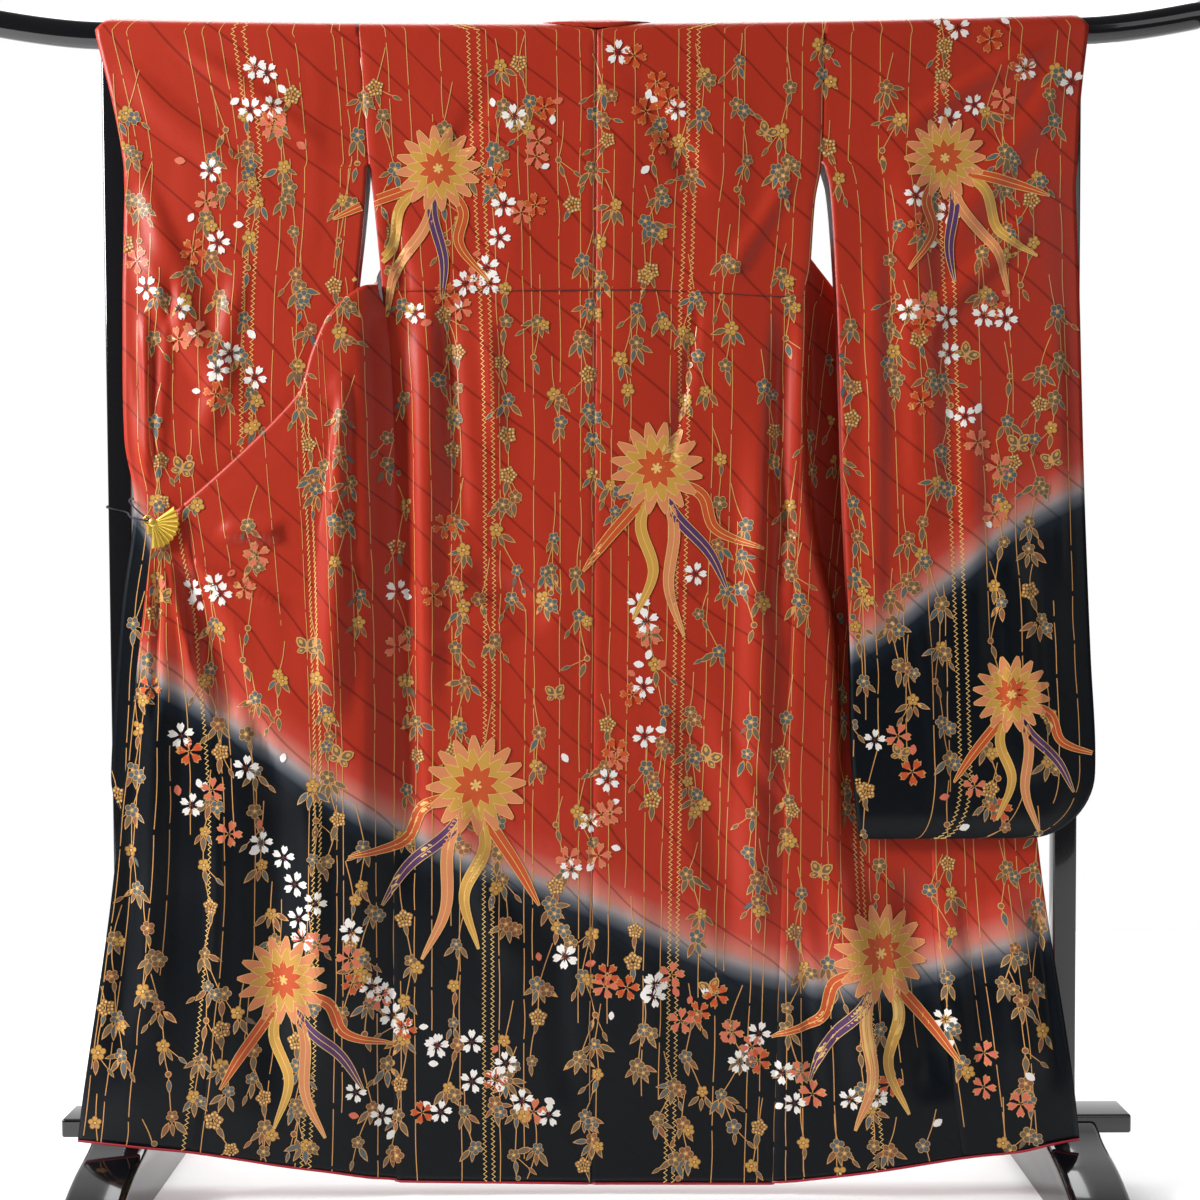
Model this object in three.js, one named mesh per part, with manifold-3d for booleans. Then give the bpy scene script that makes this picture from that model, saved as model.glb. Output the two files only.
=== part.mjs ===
// A furisode kimono hung open over the rod of a black lacquered display stand, its back to the viewer.
// Millimetres, +Z up, the viewer on the -Y side. The origin is on the floor, below the middle of the rod.
// "out" is a distance from the middle plane (x = 0) towards the side that a piece belongs to.
import * as THREE from "three";
import { mergeVertices } from "three/addons/utils/BufferGeometryUtils.js";
import Module from "manifold-3d";

const wasm = await Module();
wasm.setup();

// ---- Driving sizes of the cloth ----
const WALL = 2; // thickness of the lined silk
const SEAM_GAP = 0.3; // space between two sewn edges
const TURNED_GAP = 2.6; // how far the body's edge is drawn back behind the turned fold
const BACK_CELLS = 7; // cells across a body panel
const BACK_ROWS = 20; // rows of cells from the back hem to the rod
const ROD_ROWS = 6; // rows of cells over the rod
// Rows from the rod (0) down to the turned fold (1), closer together where the front passes the side seam (0.6).
const REAR_STEPS = [0, 0.1, 0.2, 0.3, 0.4, 0.5, 0.55, 0.6, 0.65, 0.7, 0.8, 0.87, 0.94, 1];
const WING_ROWS = 18; // rows of cells from the turned fold down to the front hem
const OKUMI_CELLS = 3;
const SLEEVE_CELLS = 8;
const NECK = { half: 90, centre: 8, arc: (Math.PI * ROD_ROWS) / (ROD_ROWS + 1) }; // arc is round the rod, from its rear
const COLLAR = { width: 55, wall: 3, cells: 6, swell: 3 }; // it swells where it crosses the rod
const HEM_CENTRE = -7; // x of the centre back seam at the hem
const SIDE_SEAM_GAP = 1.2; // the two edges of one panel at its side seam
const ARMHOLE = 1392; // height where the sleeve's seam with the body ends
const CUFF = 1362; // height of the bottom of the wrist opening
const CUFF_INSET = 610; // the rear layer stays inside the post down to the cuff
const OKUMI_POINT = 3; // the row behind the back where the okumi's point lies
const FOLD_HALF = 4.5; // half the space inside a turned fold

// ---- Driving sizes of the stand ----
const ROD = { radius: 18.5, half: 825, centre: 1561, bow: 9.5, straight: 665, sweep: 17 };
const POST = { out: 640, width: 32, depth: 22, corner: 5 };
const BAR = { half: 727, depth: 58, height: 26, top: 107, corner: 5 };
const FOOT = { width: 80, half: 222, crown: 106, toe: 12, shoulder: 14 };

// ---- Colours ----
const look = (color, roughness, metalness = 0) =>
  new THREE.MeshStandardMaterial({ color, roughness, metalness });
const RED_SILK = look(0xb8362a, 0.55);
const NAVY_SILK = look(0x0e1722, 0.5);
const SCARLET_EDGE = look(0xa82230, 0.6);
const BLACK_LACQUER = look(0x0a0a0c, 0.12);
const POLISHED_GOLD = look(0xd9a520, 0.25, 1);
const PLUM_CORD = look(0x1c1220, 0.8);

// ---- Small maths ----
const lerp = (a, b, t) => a + (b - a) * t;
const clamp = (v) => Math.min(1, Math.max(0, v));
const smooth = (v) => clamp(v) ** 2 * (3 - 2 * clamp(v));
const bell = (v) => (Math.abs(v) < 1 ? (1 - v * v) ** 2 : 0);
const spread = (from, to, cells) => Array.from({ length: cells + 1 }, (_, i) => lerp(from, to, i / cells));

// A smooth value of one named column of a table, at a value of its key column.
function track(rows, key, column, at) {
  const v = Math.min(rows.at(-1)[key], Math.max(rows[0][key], at));
  let i = 0;
  while (i < rows.length - 2 && v > rows[i + 1][key]) i++;
  const slope = (k) => {
    const a = rows[Math.max(0, k - 1)];
    const b = rows[Math.min(rows.length - 1, k + 1)];
    return (b[column] - a[column]) / (b[key] - a[key]);
  };
  const [p, q] = [rows[i], rows[i + 1]];
  const span = q[key] - p[key];
  const t = (v - p[key]) / span;
  const [t2, t3] = [t * t, t * t * t];
  return (
    (2 * t3 - 3 * t2 + 1) * p[column] +
    (t3 - 2 * t2 + t) * span * slope(i) +
    (3 * t2 - 2 * t3) * q[column] +
    (t3 - t2) * span * slope(i + 1)
  );
}

// ---- The rod's line, and cloth laid over it ----
function rodHeight(x) {
  const bow = ROD.bow * (x / ROD.straight) ** 2;
  const beyond = clamp((Math.abs(x) - ROD.straight) / (ROD.half - ROD.straight));
  return ROD.centre + bow + ROD.sweep * beyond ** 1.6;
}
const LAY = ROD.radius + 0.8 + WALL / 2; // radius of the cloth's middle over the rod
// arc is the distance along the cloth from the rod's rear; below zero it hangs straight down.
function overRod(x, arc, lift = 0) {
  const r = LAY + lift;
  const z = rodHeight(x);
  return arc >= 0
    ? [x, r * Math.cos(arc / LAY), z + r * Math.sin(arc / LAY)]
    : [x, r, z + arc];
}

// ---- Folds: soft troughs (depth above 0) and ridges (below 0), away from the viewer along +Y ----
const BACK_FOLDS = [
  { side: -1, out0: 262, z0: 1180, out1: 248, z1: 420, width: 26, depth: 7 },
  { side: -1, out0: 222, z0: 1240, out1: 226, z1: 640, width: 30, depth: -5 },
  { side: -1, out0: 170, z0: 850, out1: 60, z1: 780, width: 34, depth: 4 },
  { side: 1, out0: 258, z0: 1200, out1: 236, z1: 760, width: 24, depth: 6 },
  { side: 1, out0: 226, z0: 1050, out1: 214, z1: 330, width: 34, depth: -6 },
  { side: 1, out0: 120, z0: 700, out1: 200, z1: 300, width: 40, depth: 4 },
];
const WING_FOLDS = [
  { side: -1, out0: 375, z0: 1105, out1: 520, z1: 945, width: 20, depth: 7 },
  { side: -1, out0: 560, z0: 885, out1: 478, z1: 640, width: 26, depth: 9 },
  { side: -1, out0: 330, z0: 1150, out1: 352, z1: 640, width: 30, depth: -7 },
  { side: -1, out0: 410, z0: 900, out1: 500, z1: 905, width: 24, depth: -5 },
  { side: -1, out0: 430, z0: 620, out1: 440, z1: 130, width: 44, depth: 7 },
  { side: -1, out0: 575, z0: 800, out1: 600, z1: 220, width: 30, depth: -6 },
  { side: 1, out0: 330, z0: 450, out1: 372, z1: 120, width: 40, depth: -7 },
  { side: 1, out0: 430, z0: 440, out1: 455, z1: 140, width: 42, depth: 8 },
  { side: 1, out0: 560, z0: 430, out1: 575, z1: 160, width: 36, depth: -6 },
];
const REAR_FOLDS = [
  { side: -1, out0: 270, z0: 1520, out1: 282, z1: 1300, width: 22, depth: -6 },
  { side: -1, out0: 190, z0: 1540, out1: 268, z1: 1230, width: 24, depth: -8 },
  { side: 1, out0: 250, z0: 1520, out1: 330, z1: 1200, width: 24, depth: -7 },
  { side: 1, out0: 160, z0: 1530, out1: 400, z1: 1120, width: 28, depth: -9 },
];
const SLEEVE_FOLDS = [
  { side: -1, out0: 655, z0: 1540, out1: 420, z1: 1330, width: 30, depth: 5 },
  { side: -1, out0: 620, z0: 1300, out1: 470, z1: 1060, width: 34, depth: -5 },
  { side: 1, out0: 650, z0: 1530, out1: 470, z1: 1280, width: 32, depth: 6 },
  { side: 1, out0: 420, z0: 1420, out1: 450, z1: 900, width: 40, depth: -5 },
  { side: 1, out0: 560, z0: 860, out1: 590, z1: 560, width: 36, depth: -5 },
];

function foldDepth(folds, side, out, z) {
  let sum = 0;
  for (const f of folds) {
    if (f.side !== side) continue;
    const [dx, dz] = [f.out1 - f.out0, f.z1 - f.z0];
    const length = Math.hypot(dx, dz);
    const along = ((out - f.out0) * dx + (z - f.z0) * dz) / length ** 2;
    const across = ((out - f.out0) * dz - (z - f.z0) * dx) / length;
    sum += f.depth * bell(across / f.width) * smooth(along * 4 + 0.2) * smooth((1 - along) * 4 + 0.2);
  }
  return sum;
}

// ---- Sections of the body, left (-1) and right (+1) ----
// The outer edge of a back panel: the side seam below the underarm, the sleeve's seam above the armhole.
const SIDE_EDGE = {
  "-1": [
    { z: 25, out: 272, y: -38 },
    { z: 130, out: 275, y: -34 },
    { z: 404, out: 274, y: -28 },
    { z: 810, out: 270, y: -26 },
    { z: 1078, out: 272, y: -25 },
    { z: 1222, out: 281, y: -23 },
    { z: 1304, out: 288, y: -22 },
    { z: 1373, out: 295, y: -21 },
    { z: ARMHOLE, out: 298, y: -20.5 },
    { z: 1566, out: 309, y: -LAY },
  ],
  1: [
    { z: 19, out: 240, y: -37 },
    { z: 200, out: 247, y: -32 },
    { z: 600, out: 262, y: -28 },
    { z: 810, out: 272, y: -27 },
    { z: 1000, out: 281, y: -26 },
    { z: 1222, out: 285, y: -25 },
    { z: 1250, out: 291, y: -24 },
    { z: 1340, out: 298, y: -22 },
    { z: ARMHOLE, out: 307, y: -20.5 },
    { z: 1566, out: 310, y: -LAY },
  ],
};
const CENTRE_BACK = [
  { z: 19, y: -34 },
  { z: 130, y: -33 },
  { z: 400, y: -28 },
  { z: 900, y: -25 },
  { z: 1222, y: -23 },
  { z: ROD.centre, y: -LAY },
];
// The front hem, from the side seam (s 0) past the okumi seam (s 1) to the free edge (s 2).
const FRONT_HEM = {
  "-1": [
    { s: 0, out: 272, y: -38, z: 25 },
    { s: 0.33, out: 354, y: -50, z: 42 },
    { s: 0.6, out: 422, y: -57, z: 54 },
    { s: 1, out: 531, y: -68, z: 76 },
    { s: 1.45, out: 604, y: -76, z: 87 },
    { s: 2, out: 688, y: -77, z: 97 },
  ],
  1: [
    { s: 0, out: 240, y: -37, z: 19 },
    { s: 0.55, out: 374, y: -56, z: 42 },
    { s: 1, out: 490, y: -61, z: 62 },
    { s: 1.5, out: 566, y: -70, z: 74 },
    { s: 1.75, out: 606, y: -76, z: 86 },
    { s: 2, out: 641, y: -77, z: 93 },
  ],
};
// The turned fold: the front is pulled out to the side, so it turns over along this line.
const TURNED_FOLD = {
  "-1": [
    { s: 0, out: 285, y: -27, z: 1227 },
    { s: 0.1, out: 307, y: -38, z: 1221 },
    { s: 0.22, out: 344, y: -42, z: 1189 },
    { s: 0.36, out: 368, y: -42, z: 1140 },
    { s: 0.52, out: 391, y: -42, z: 1078 },
    { s: 1, out: 542, y: -42, z: 936 },
    { s: 2, out: 584, y: -43, z: 914 },
  ],
  1: [
    { s: 0, out: 292, y: 20, z: 1272 },
    { s: 0.5, out: 412, y: 20, z: 1118 },
    { s: 1, out: 524, y: 20, z: 979 },
    { s: 2, out: 556, y: 20, z: 938 },
  ],
};
// How the right front lies: near the viewer up to "out", then stepping back behind the sleeve over "step".
const RIGHT_STEP = [
  { z: 19, out: 300, step: 160, near: -38, deep: -64 },
  { z: 130, out: 300, step: 150, near: -33, deep: -47 },
  { z: 280, out: 305, step: 130, near: -29, deep: -27 },
  { z: 430, out: 322, step: 60, near: -29, deep: -15 },
  { z: 500, out: 328, step: 18, near: -29, deep: -9 },
  { z: 620, out: 325, step: 18, near: -29, deep: -2 },
  { z: 790, out: 316, step: 18, near: -29, deep: 8 },
  { z: 875, out: 298, step: 16, near: -28, deep: 12 },
  { z: 1000, out: 284, step: 14, near: -26, deep: 15 },
  { z: 1280, out: 286, step: 14, near: -25, deep: 16 },
];
// Where the fronts pass the side seam, from their outer edge (high) to their inner edge (low). The left front
// comes through the gap between body and sleeve there; the right front stays behind.
const GATE = {
  "-1": { out: 291, y: 2, high: 1246, low: 1072, before: 281, beforeY: 12, lift: 34 },
  1: { out: 286, y: 22.5, high: 1288, low: 1096, before: 268, beforeY: 19.5, lift: 34 },
};
const PAST_GATE = { out: 304, y: -31 };
const OKUMI_AT_GATE = 62; // width of the okumi where it passes the side seam

const WING_BELLY = { "-1": -37, 1: -42 }; // how far the okumi's seam leans in at half height
const WING_ROOT = { "-1": 42, 1: 10 }; // the wing leaves the side seam over this width

// ---- Sleeves ----
const SLEEVE_BOTTOM = 484;
const SLEEVE_CORNER = 88; // radius of the round corner below the wrist
const SLEEVE_SECTIONS = {
  "-1": [
    { z: 484, inner: 357, outer: 655, front: -24, rear: -15, innerRear: -15 },
    { z: 600, inner: 345, outer: 653, front: -25, rear: -14, innerRear: -13 },
    { z: 800, inner: 332, outer: 636, front: -25, rear: -14, innerRear: -12 },
    { z: 942, inner: 328, outer: 617, front: -25, rear: -14, innerRear: -11 },
    { z: 1026, inner: 325, outer: 629, front: -25, rear: -14, innerRear: -9 },
    { z: 1205, inner: 316, outer: 629, front: -24, rear: -14, innerRear: -3 },
    { z: 1304, inner: 306, outer: 626, front: -24, rear: -14, innerRear: 5 },
    { z: CUFF, inner: 301, outer: 624, front: -23, rear: -14, innerRear: 12 },
    { z: 1392, inner: 300, outer: 624, front: -23, rear: -13.5, innerRear: 16 },
    { z: 1464, inner: 303, outer: 636, front: -22, rear: 10, innerRear: 18 },
    { z: 1566, inner: 309, outer: 660, front: -20, rear: 20, innerRear: 20 },
  ],
  1: [
    { z: 484, inner: 357, outer: 672, front: -30, rear: -17, innerRear: -17 },
    { z: 600, inner: 347, outer: 676, front: -30, rear: -16, innerRear: -15 },
    { z: 733, inner: 344, outer: 669, front: -29, rear: -15, innerRear: -12 },
    { z: 937, inner: 335, outer: 660, front: -28, rear: -15, innerRear: -9 },
    { z: 1098, inner: 330, outer: 655, front: -27, rear: -14, innerRear: -5 },
    { z: 1205, inner: 326, outer: 652, front: -26, rear: -14, innerRear: 0 },
    { z: 1304, inner: 321, outer: 648, front: -25, rear: -14, innerRear: 7 },
    { z: CUFF, inner: 316, outer: 646, front: -24, rear: -14, innerRear: 13 },
    { z: 1392, inner: 309, outer: 647, front: -23, rear: -13.5, innerRear: 16 },
    { z: 1468, inner: 308, outer: 651, front: -22, rear: 10, innerRear: 18 },
    { z: 1566, inner: 310, outer: 662, front: -20, rear: 20, innerRear: 20 },
  ],
};

// ---- Fan clip and its cord ----
const FAN = {
  out: 583, z: 914.5, y: -53.4, radius: 34, hub: 4, from: -93, to: 37, pleats: 10, pleat: 1.5, plate: 1.2,
};
const RING = { radius: 5.6, tube: 1.3, out: 589, z: 918 };
const JAW = { out: 592, inner: 566, front: -50.2, rear: -31.5, plate: 1.2, low: 899, height: 12 };
const CORD_RADIUS = 1.1;
const CORD_ROUTE = [
  { out: 600, y: -46, z: 926 },
  { out: 590, y: -49.5, z: 919.5 },
  { out: 588.6, y: -53.4, z: 918 },
  { out: 590, y: -57, z: 917 },
  { out: 600, y: -56, z: 919 },
  { out: 616, y: -40, z: 922 },
  { out: 624, y: -24, z: 926 },
  { out: 630, y: -13.2, z: 930 },
  { out: 650, y: -13.2, z: 935 },
  { out: 657.9, y: -9, z: 937 },
  { out: 657.9, y: 9, z: 941 },
  { out: 651, y: 13.2, z: 943 },
  { out: 630, y: 13.2, z: 947 },
  { out: 622.2, y: 8, z: 949 },
  { out: 622.2, y: -4, z: 949 },
  { out: 622.4, y: -18, z: 948 },
  { out: 621, y: -30, z: 944 },
  { out: 611, y: -40, z: 935 },
];

// ---- Closed meshes from grids of points ----
const vec = (p) => new THREE.Vector3(...p);

// Unit normals of a grid, each the mean of the cells round its point.
function gridNormals(grid, loops = false) {
  const [rows, cols] = [grid.length, grid[0].length];
  const sum = grid.map((row) => row.map(() => new THREE.Vector3()));
  for (let r = 0; r < (loops ? rows : rows - 1); r++)
    for (let c = 0; c < cols - 1; c++) {
      const corners = [[r, c], [r, c + 1], [(r + 1) % rows, c + 1], [(r + 1) % rows, c]];
      const [a, b, d, e] = corners.map(([i, j]) => vec(grid[i][j]));
      const n = d.clone().sub(a).cross(e.clone().sub(b)).multiplyScalar(-1).normalize();
      for (const [i, j] of corners) sum[i][j].add(n);
    }
  return sum.map((row) => row.map((n) => n.normalize()));
}

function meshGeometry(vertices, quads) {
  const geometry = new THREE.BufferGeometry();
  geometry.setAttribute("position", new THREE.Float32BufferAttribute(vertices.flat(), 3));
  const faces = quads.flatMap(([a, b, c, d]) => (d === undefined ? [a, b, c] : [a, b, c, a, c, d]));
  let volume = 0;
  for (let i = 0; i < faces.length; i += 3) {
    const [a, b, c] = [0, 1, 2].map((k) => vec(vertices[faces[i + k]]));
    volume += a.dot(b.cross(c));
  }
  if (volume < 0) for (let i = 0; i < faces.length; i += 3) [faces[i + 1], faces[i + 2]] = [faces[i + 2], faces[i + 1]];
  geometry.setIndex(faces);
  return geometry;
}

// The two faces of a wall: every point of the grid moved half the thickness each way.
function wallVertices(grid, normals, thickness) {
  return [0.5, -0.5].flatMap((half) =>
    grid.flatMap((row, r) => row.map((p, c) => vec(p).addScaledVector(normals[r][c], half * thickness).toArray())),
  );
}

function wall(grid, normals = gridNormals(grid), thickness = WALL) {
  const [rows, cols] = [grid.length, grid[0].length];
  const at = (face, r, c) => (face * rows + r) * cols + c;
  const quads = [];
  for (let r = 0; r < rows - 1; r++)
    for (let c = 0; c < cols - 1; c++) {
      quads.push([at(0, r, c), at(0, r, c + 1), at(0, r + 1, c + 1), at(0, r + 1, c)]);
      quads.push([at(1, r, c), at(1, r + 1, c), at(1, r + 1, c + 1), at(1, r, c + 1)]);
    }
  for (let r = 0; r < rows - 1; r++) {
    quads.push([at(0, r, 0), at(0, r + 1, 0), at(1, r + 1, 0), at(1, r, 0)]);
    quads.push([at(0, r, cols - 1), at(1, r, cols - 1), at(1, r + 1, cols - 1), at(0, r + 1, cols - 1)]);
  }
  for (let c = 0; c < cols - 1; c++) {
    quads.push([at(0, 0, c), at(1, 0, c), at(1, 0, c + 1), at(0, 0, c + 1)]);
    quads.push([at(0, rows - 1, c), at(0, rows - 1, c + 1), at(1, rows - 1, c + 1), at(1, rows - 1, c)]);
  }
  return meshGeometry(wallVertices(grid, normals, thickness), quads);
}

// A round bar along a list of points, closed on itself or with flat ends.
function bar(points, radius, sides, closed = false) {
  const path = points.map(vec);
  const count = path.length;
  const vertices = [];
  const reference = new THREE.Vector3(0, 1, 0.2).normalize();
  path.forEach((p, i) => {
    const before = path[closed ? (i + count - 1) % count : Math.max(0, i - 1)];
    const after = path[closed ? (i + 1) % count : Math.min(count - 1, i + 1)];
    const along = after.clone().sub(before).normalize();
    const across = reference.clone().addScaledVector(along, -reference.dot(along)).normalize();
    const third = along.clone().cross(across);
    for (let k = 0; k < sides; k++) {
      const a = (2 * Math.PI * k) / sides;
      const r = typeof radius === "function" ? radius(i) : radius;
      vertices.push(p.clone().addScaledVector(across, r * Math.cos(a)).addScaledVector(third, r * Math.sin(a)).toArray());
    }
  });
  const quads = [];
  const at = (i, k) => (i % count) * sides + (k % sides);
  for (let i = 0; i < (closed ? count : count - 1); i++)
    for (let k = 0; k < sides; k++) quads.push([at(i, k), at(i, k + 1), at(i + 1, k + 1), at(i + 1, k)]);
  if (!closed)
    for (const end of [0, count - 1]) {
      vertices.push(path[end].toArray());
      for (let k = 0; k < sides; k++) {
        const face = [vertices.length - 1, at(end, k + 1), at(end, k)];
        quads.push(end ? face.reverse() : face);
      }
    }
  return meshGeometry(vertices, quads);
}

// Evenly spaced points on a smooth curve through a table of rows.
function smoothRoute(rows, side, count, closed = false) {
  const points = rows.map((r) => new THREE.Vector3(side * r.out, r.y, r.z));
  return new THREE.CatmullRomCurve3(points, closed, "centripetal").getSpacedPoints(count).map((p) => p.toArray());
}

// ---- The body panels ----
const centreX = (z) => lerp(HEM_CENTRE, NECK.centre, clamp(z / ROD.centre));
const shoulderOut = (side) => track(SIDE_EDGE[side], "z", "out", 1566) - SEAM_GAP / 2;

// A point of a back panel: s runs from the outer edge (0) to the centre seam (1), t from the hem (0) to the rod (1).
function backPoint(side, s, t) {
  const edge = SIDE_EDGE[side];
  const hem = lerp(edge[0].z, CENTRE_BACK[0].z, s);
  const z = lerp(hem, rodHeight(side * lerp(shoulderOut(side), 0, s)), t);
  const out = track(edge, "z", "out", z) - SEAM_GAP / 2;
  const x = lerp(side * out, centreX(z) + (side * SEAM_GAP) / 2, s);
  const y = lerp(track(edge, "z", "y", z), track(CENTRE_BACK, "z", "y", z), smooth(s));
  const folds = foldDepth(BACK_FOLDS, side, Math.abs(x), z);
  return [x, y + folds * smooth(t * 12) * smooth((1 - t) * 8), z];
}

// The neckline's distance from the middle of the neck, at an arc over the rod.
function neckHalf(arc) {
  const turn = arc / LAY / NECK.arc;
  return turn >= 1 ? 0 : NECK.half * Math.sqrt(1 - turn * turn);
}

// A point of the line where the front turns over.
function foldPoint(side, s) {
  const table = TURNED_FOLD[side];
  return [side * track(table, "s", "out", s), track(table, "s", "y", s), track(table, "s", "z", s)];
}

// The way of one lengthwise thread of the front, from the rod to the turned fold.
function rearThread(side, s) {
  const start = vec(overRod(lerp(side * shoulderOut(side), NECK.centre + side * NECK.half, s), 0));
  const fold = foldPoint(side, s);
  const end = new THREE.Vector3(fold[0], fold[1] + FOLD_HALF, fold[2]);
  const armhole = new THREE.Vector3(side * (track(SIDE_EDGE[side], "z", "out", ARMHOLE) - SEAM_GAP / 2), 16, ARMHOLE);
  const { out, y, high, low, before, beforeY, lift } = GATE[side];
  const gateZ = lerp(high, low, s);
  const gate = new THREE.Vector3(side * out, y, gateZ);
  const nearGate = new THREE.Vector3(side * before, beforeY, gateZ + lift);
  const middle = armhole.lerp(start.clone().lerp(gate, 0.5).setY(19), smooth(s * 1.3));
  const past = gate.clone().lerp(end, 0.4);
  if (side < 0) past.lerp(new THREE.Vector3(side * PAST_GATE.out, PAST_GATE.y, gateZ - 6), smooth(s * 7));
  return [start, middle, nearGate, gate, past, end];
}

function rearPoint(side, s, u) {
  const p = new THREE.CatmullRomCurve3(rearThread(side, s), false, "centripetal").getPoint(clamp(u));
  const free = smooth(u * 6) * smooth((1 - u) * 5) * bell(2 * s - 1) * smooth((GATE[side].before - Math.abs(p.x)) / 20);
  p.y -= foldDepth(REAR_FOLDS, side, Math.abs(p.x), p.z) * free;
  return p;
}

// The okumi and the collar follow the front's inner edge: "across" is a share of the okumi, "width" comes after it.
function innerEdge(side, u, across, width) {
  const inward = lerp(1, 0, smooth(u * 1.4));
  const down = new THREE.Vector3(-side * inward, 0, -lerp(0.25, 1, smooth(u * 1.5))).normalize();
  const point = REAR_STEPS[OKUMI_POINT];
  const okumi = OKUMI_AT_GATE * smooth((u - point) / (0.7 - point));
  const foldEnd = vec(foldPoint(side, 2)).sub(vec(foldPoint(side, 1)));
  const lower = down.clone().multiplyScalar(Math.max(okumi, 1)).lerp(foldEnd, clamp((u - 0.7) / 0.3) ** 2.5);
  return rearPoint(side, 1, u).addScaledVector(lower, across).addScaledVector(down, width);
}

// The round of the turned fold stands a little outside both layers.
function foldTip(side, s) {
  const [a, b] = [foldPoint(side, Math.max(0, s - 0.05)), foldPoint(side, Math.min(2, s + 0.05))];
  const [dx, dz] = [Math.abs(b[0] - a[0]), Math.abs(b[2] - a[2])];
  const reach = FOLD_HALF / Math.hypot(dx, dz);
  const p = foldPoint(side, s);
  return [p[0] + side * reach * dz, p[1], p[2] + reach * dx];
}

// The spread front below the turned fold: t from the hem (0) to the fold (1), s as on the hem.
function wingPoint(side, s, t) {
  const hem = FRONT_HEM[side];
  const edge = SIDE_EDGE[side];
  const fold = foldPoint(side, s);
  const z = lerp(track(hem, "s", "z", s), fold[2], t);
  const seamOut = track(edge, "z", "out", Math.min(z, 1222)) + SIDE_SEAM_GAP;
  const seamY = track(edge, "z", "y", z);
  const rise = t ** lerp(4, 1.6, Math.min(s, 1));
  const follow = s <= 1 ? rise : lerp(rise, t, s - 1);
  const belly = WING_BELLY[side] * Math.sin(Math.PI * t) * bell(s - 1);
  const free = lerp(track(hem, "s", "out", s), Math.abs(fold[0]), follow) + belly;
  const out = lerp(seamOut, free, smooth(s * 7 + smooth((t - 0.97) / 0.03)));
  let y = fold[1] - FOLD_HALF;
  if (side > 0) {
    const at = (column) => track(RIGHT_STEP, "z", column, z);
    y = lerp(at("near"), at("deep"), smooth((out - at("out") + 4) / at("step")));
  }
  y = lerp(track(hem, "s", "y", s), y, smooth(t * 2.4));
  y = lerp(seamY, y, smooth((out - seamOut) / WING_ROOT[side]));
  y += foldDepth(WING_FOLDS, side, out, z) * smooth(t * 14) * smooth((1 - t) * 9);
  return [side * out, lerp(y, fold[1] - FOLD_HALF, smooth((t - 0.94) / 0.06)), z];
}

// A row continued a little past its last point, so that the normals of a shared edge fit both pieces.
function continued(row, cells) {
  const [p, q] = [vec(row.at(-2)), vec(row.at(-1))];
  const step = q.clone().sub(p).normalize();
  return [...row, ...Array.from({ length: cells }, (_, i) => q.clone().addScaledVector(step, i + 1).toArray())];
}

// One body panel is one length of cloth: up the back, over the rod, down behind it, turned over, and down to
// the front hem. The okumi is sewn to its inner edge, so both are cut from one grid of points.
function bodyAndOkumi(side) {
  const across = spread(0, 1, BACK_CELLS);
  const past = spread(1, 2, OKUMI_CELLS).slice(1);
  const grid = spread(0, 1, BACK_ROWS).map((t) => continued(across.map((s) => backPoint(side, s, t)), OKUMI_CELLS));
  for (const arc of spread(Math.PI * LAY, 0, ROD_ROWS + 1).slice(1, -1)) {
    const neck = neckHalf(arc);
    const inner = neck ? NECK.centre + side * (neck + SEAM_GAP) : centreX(ROD.centre) + (side * SEAM_GAP) / 2;
    const row = across.map((s) => overRod(lerp(side * shoulderOut(side), inner, s), arc));
    grid.push(continued(row, OKUMI_CELLS));
  }
  const okumiStart = grid.length + OKUMI_POINT;
  for (const u of REAR_STEPS)
    grid.push([
      ...across.map((s) => rearPoint(side, s, u).toArray()),
      ...past.map((s) => innerEdge(side, u, s - 1, 0).toArray()),
    ]);
  grid.push([...across, ...past].map((s) => foldTip(side, s)));
  for (const t of spread(1, 0, WING_ROWS)) grid.push([...across, ...past].map((s) => wingPoint(side, s, t)));
  const normals = gridNormals(grid);
  const cut = (rows, from, to) => rows.map((row) => row.slice(from, to));
  // Near the turned fold the two strips run side by side, so the body's edge is drawn further back there.
  const turned = okumiStart - OKUMI_POINT + REAR_STEPS.length;
  const body = partSeam(cut(grid, 0, BACK_CELLS + 1), BACK_CELLS, BACK_CELLS - 1, okumiStart, turned);
  const okumi = partSeam(cut(grid, BACK_CELLS).slice(okumiStart), 0, 1, 0, 0);
  return {
    body: wall(body, cut(normals, 0, BACK_CELLS + 1)),
    okumi: wall(okumi, cut(normals, BACK_CELLS).slice(okumiStart)),
    hem: [...grid.at(-1)].reverse().concat(grid[0].slice(0, BACK_CELLS + 1)),
  };
}

// Draws one column of a grid back from its seam, towards the column beside it, and further by the turned row.
function partSeam(grid, column, towards, fromRow, turned) {
  return grid.map((row, r) => {
    if (r < fromRow) return row;
    const [p, q] = [vec(row[column]), vec(row[towards])];
    const gap = turned && Math.abs(r - turned + 1.5) < 1 ? TURNED_GAP : SEAM_GAP / 2;
    const share = Math.min(0.4, gap / p.distanceTo(q));
    return row.map((point, c) => (c === column ? p.lerp(q, share).toArray() : point));
  });
}

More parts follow.
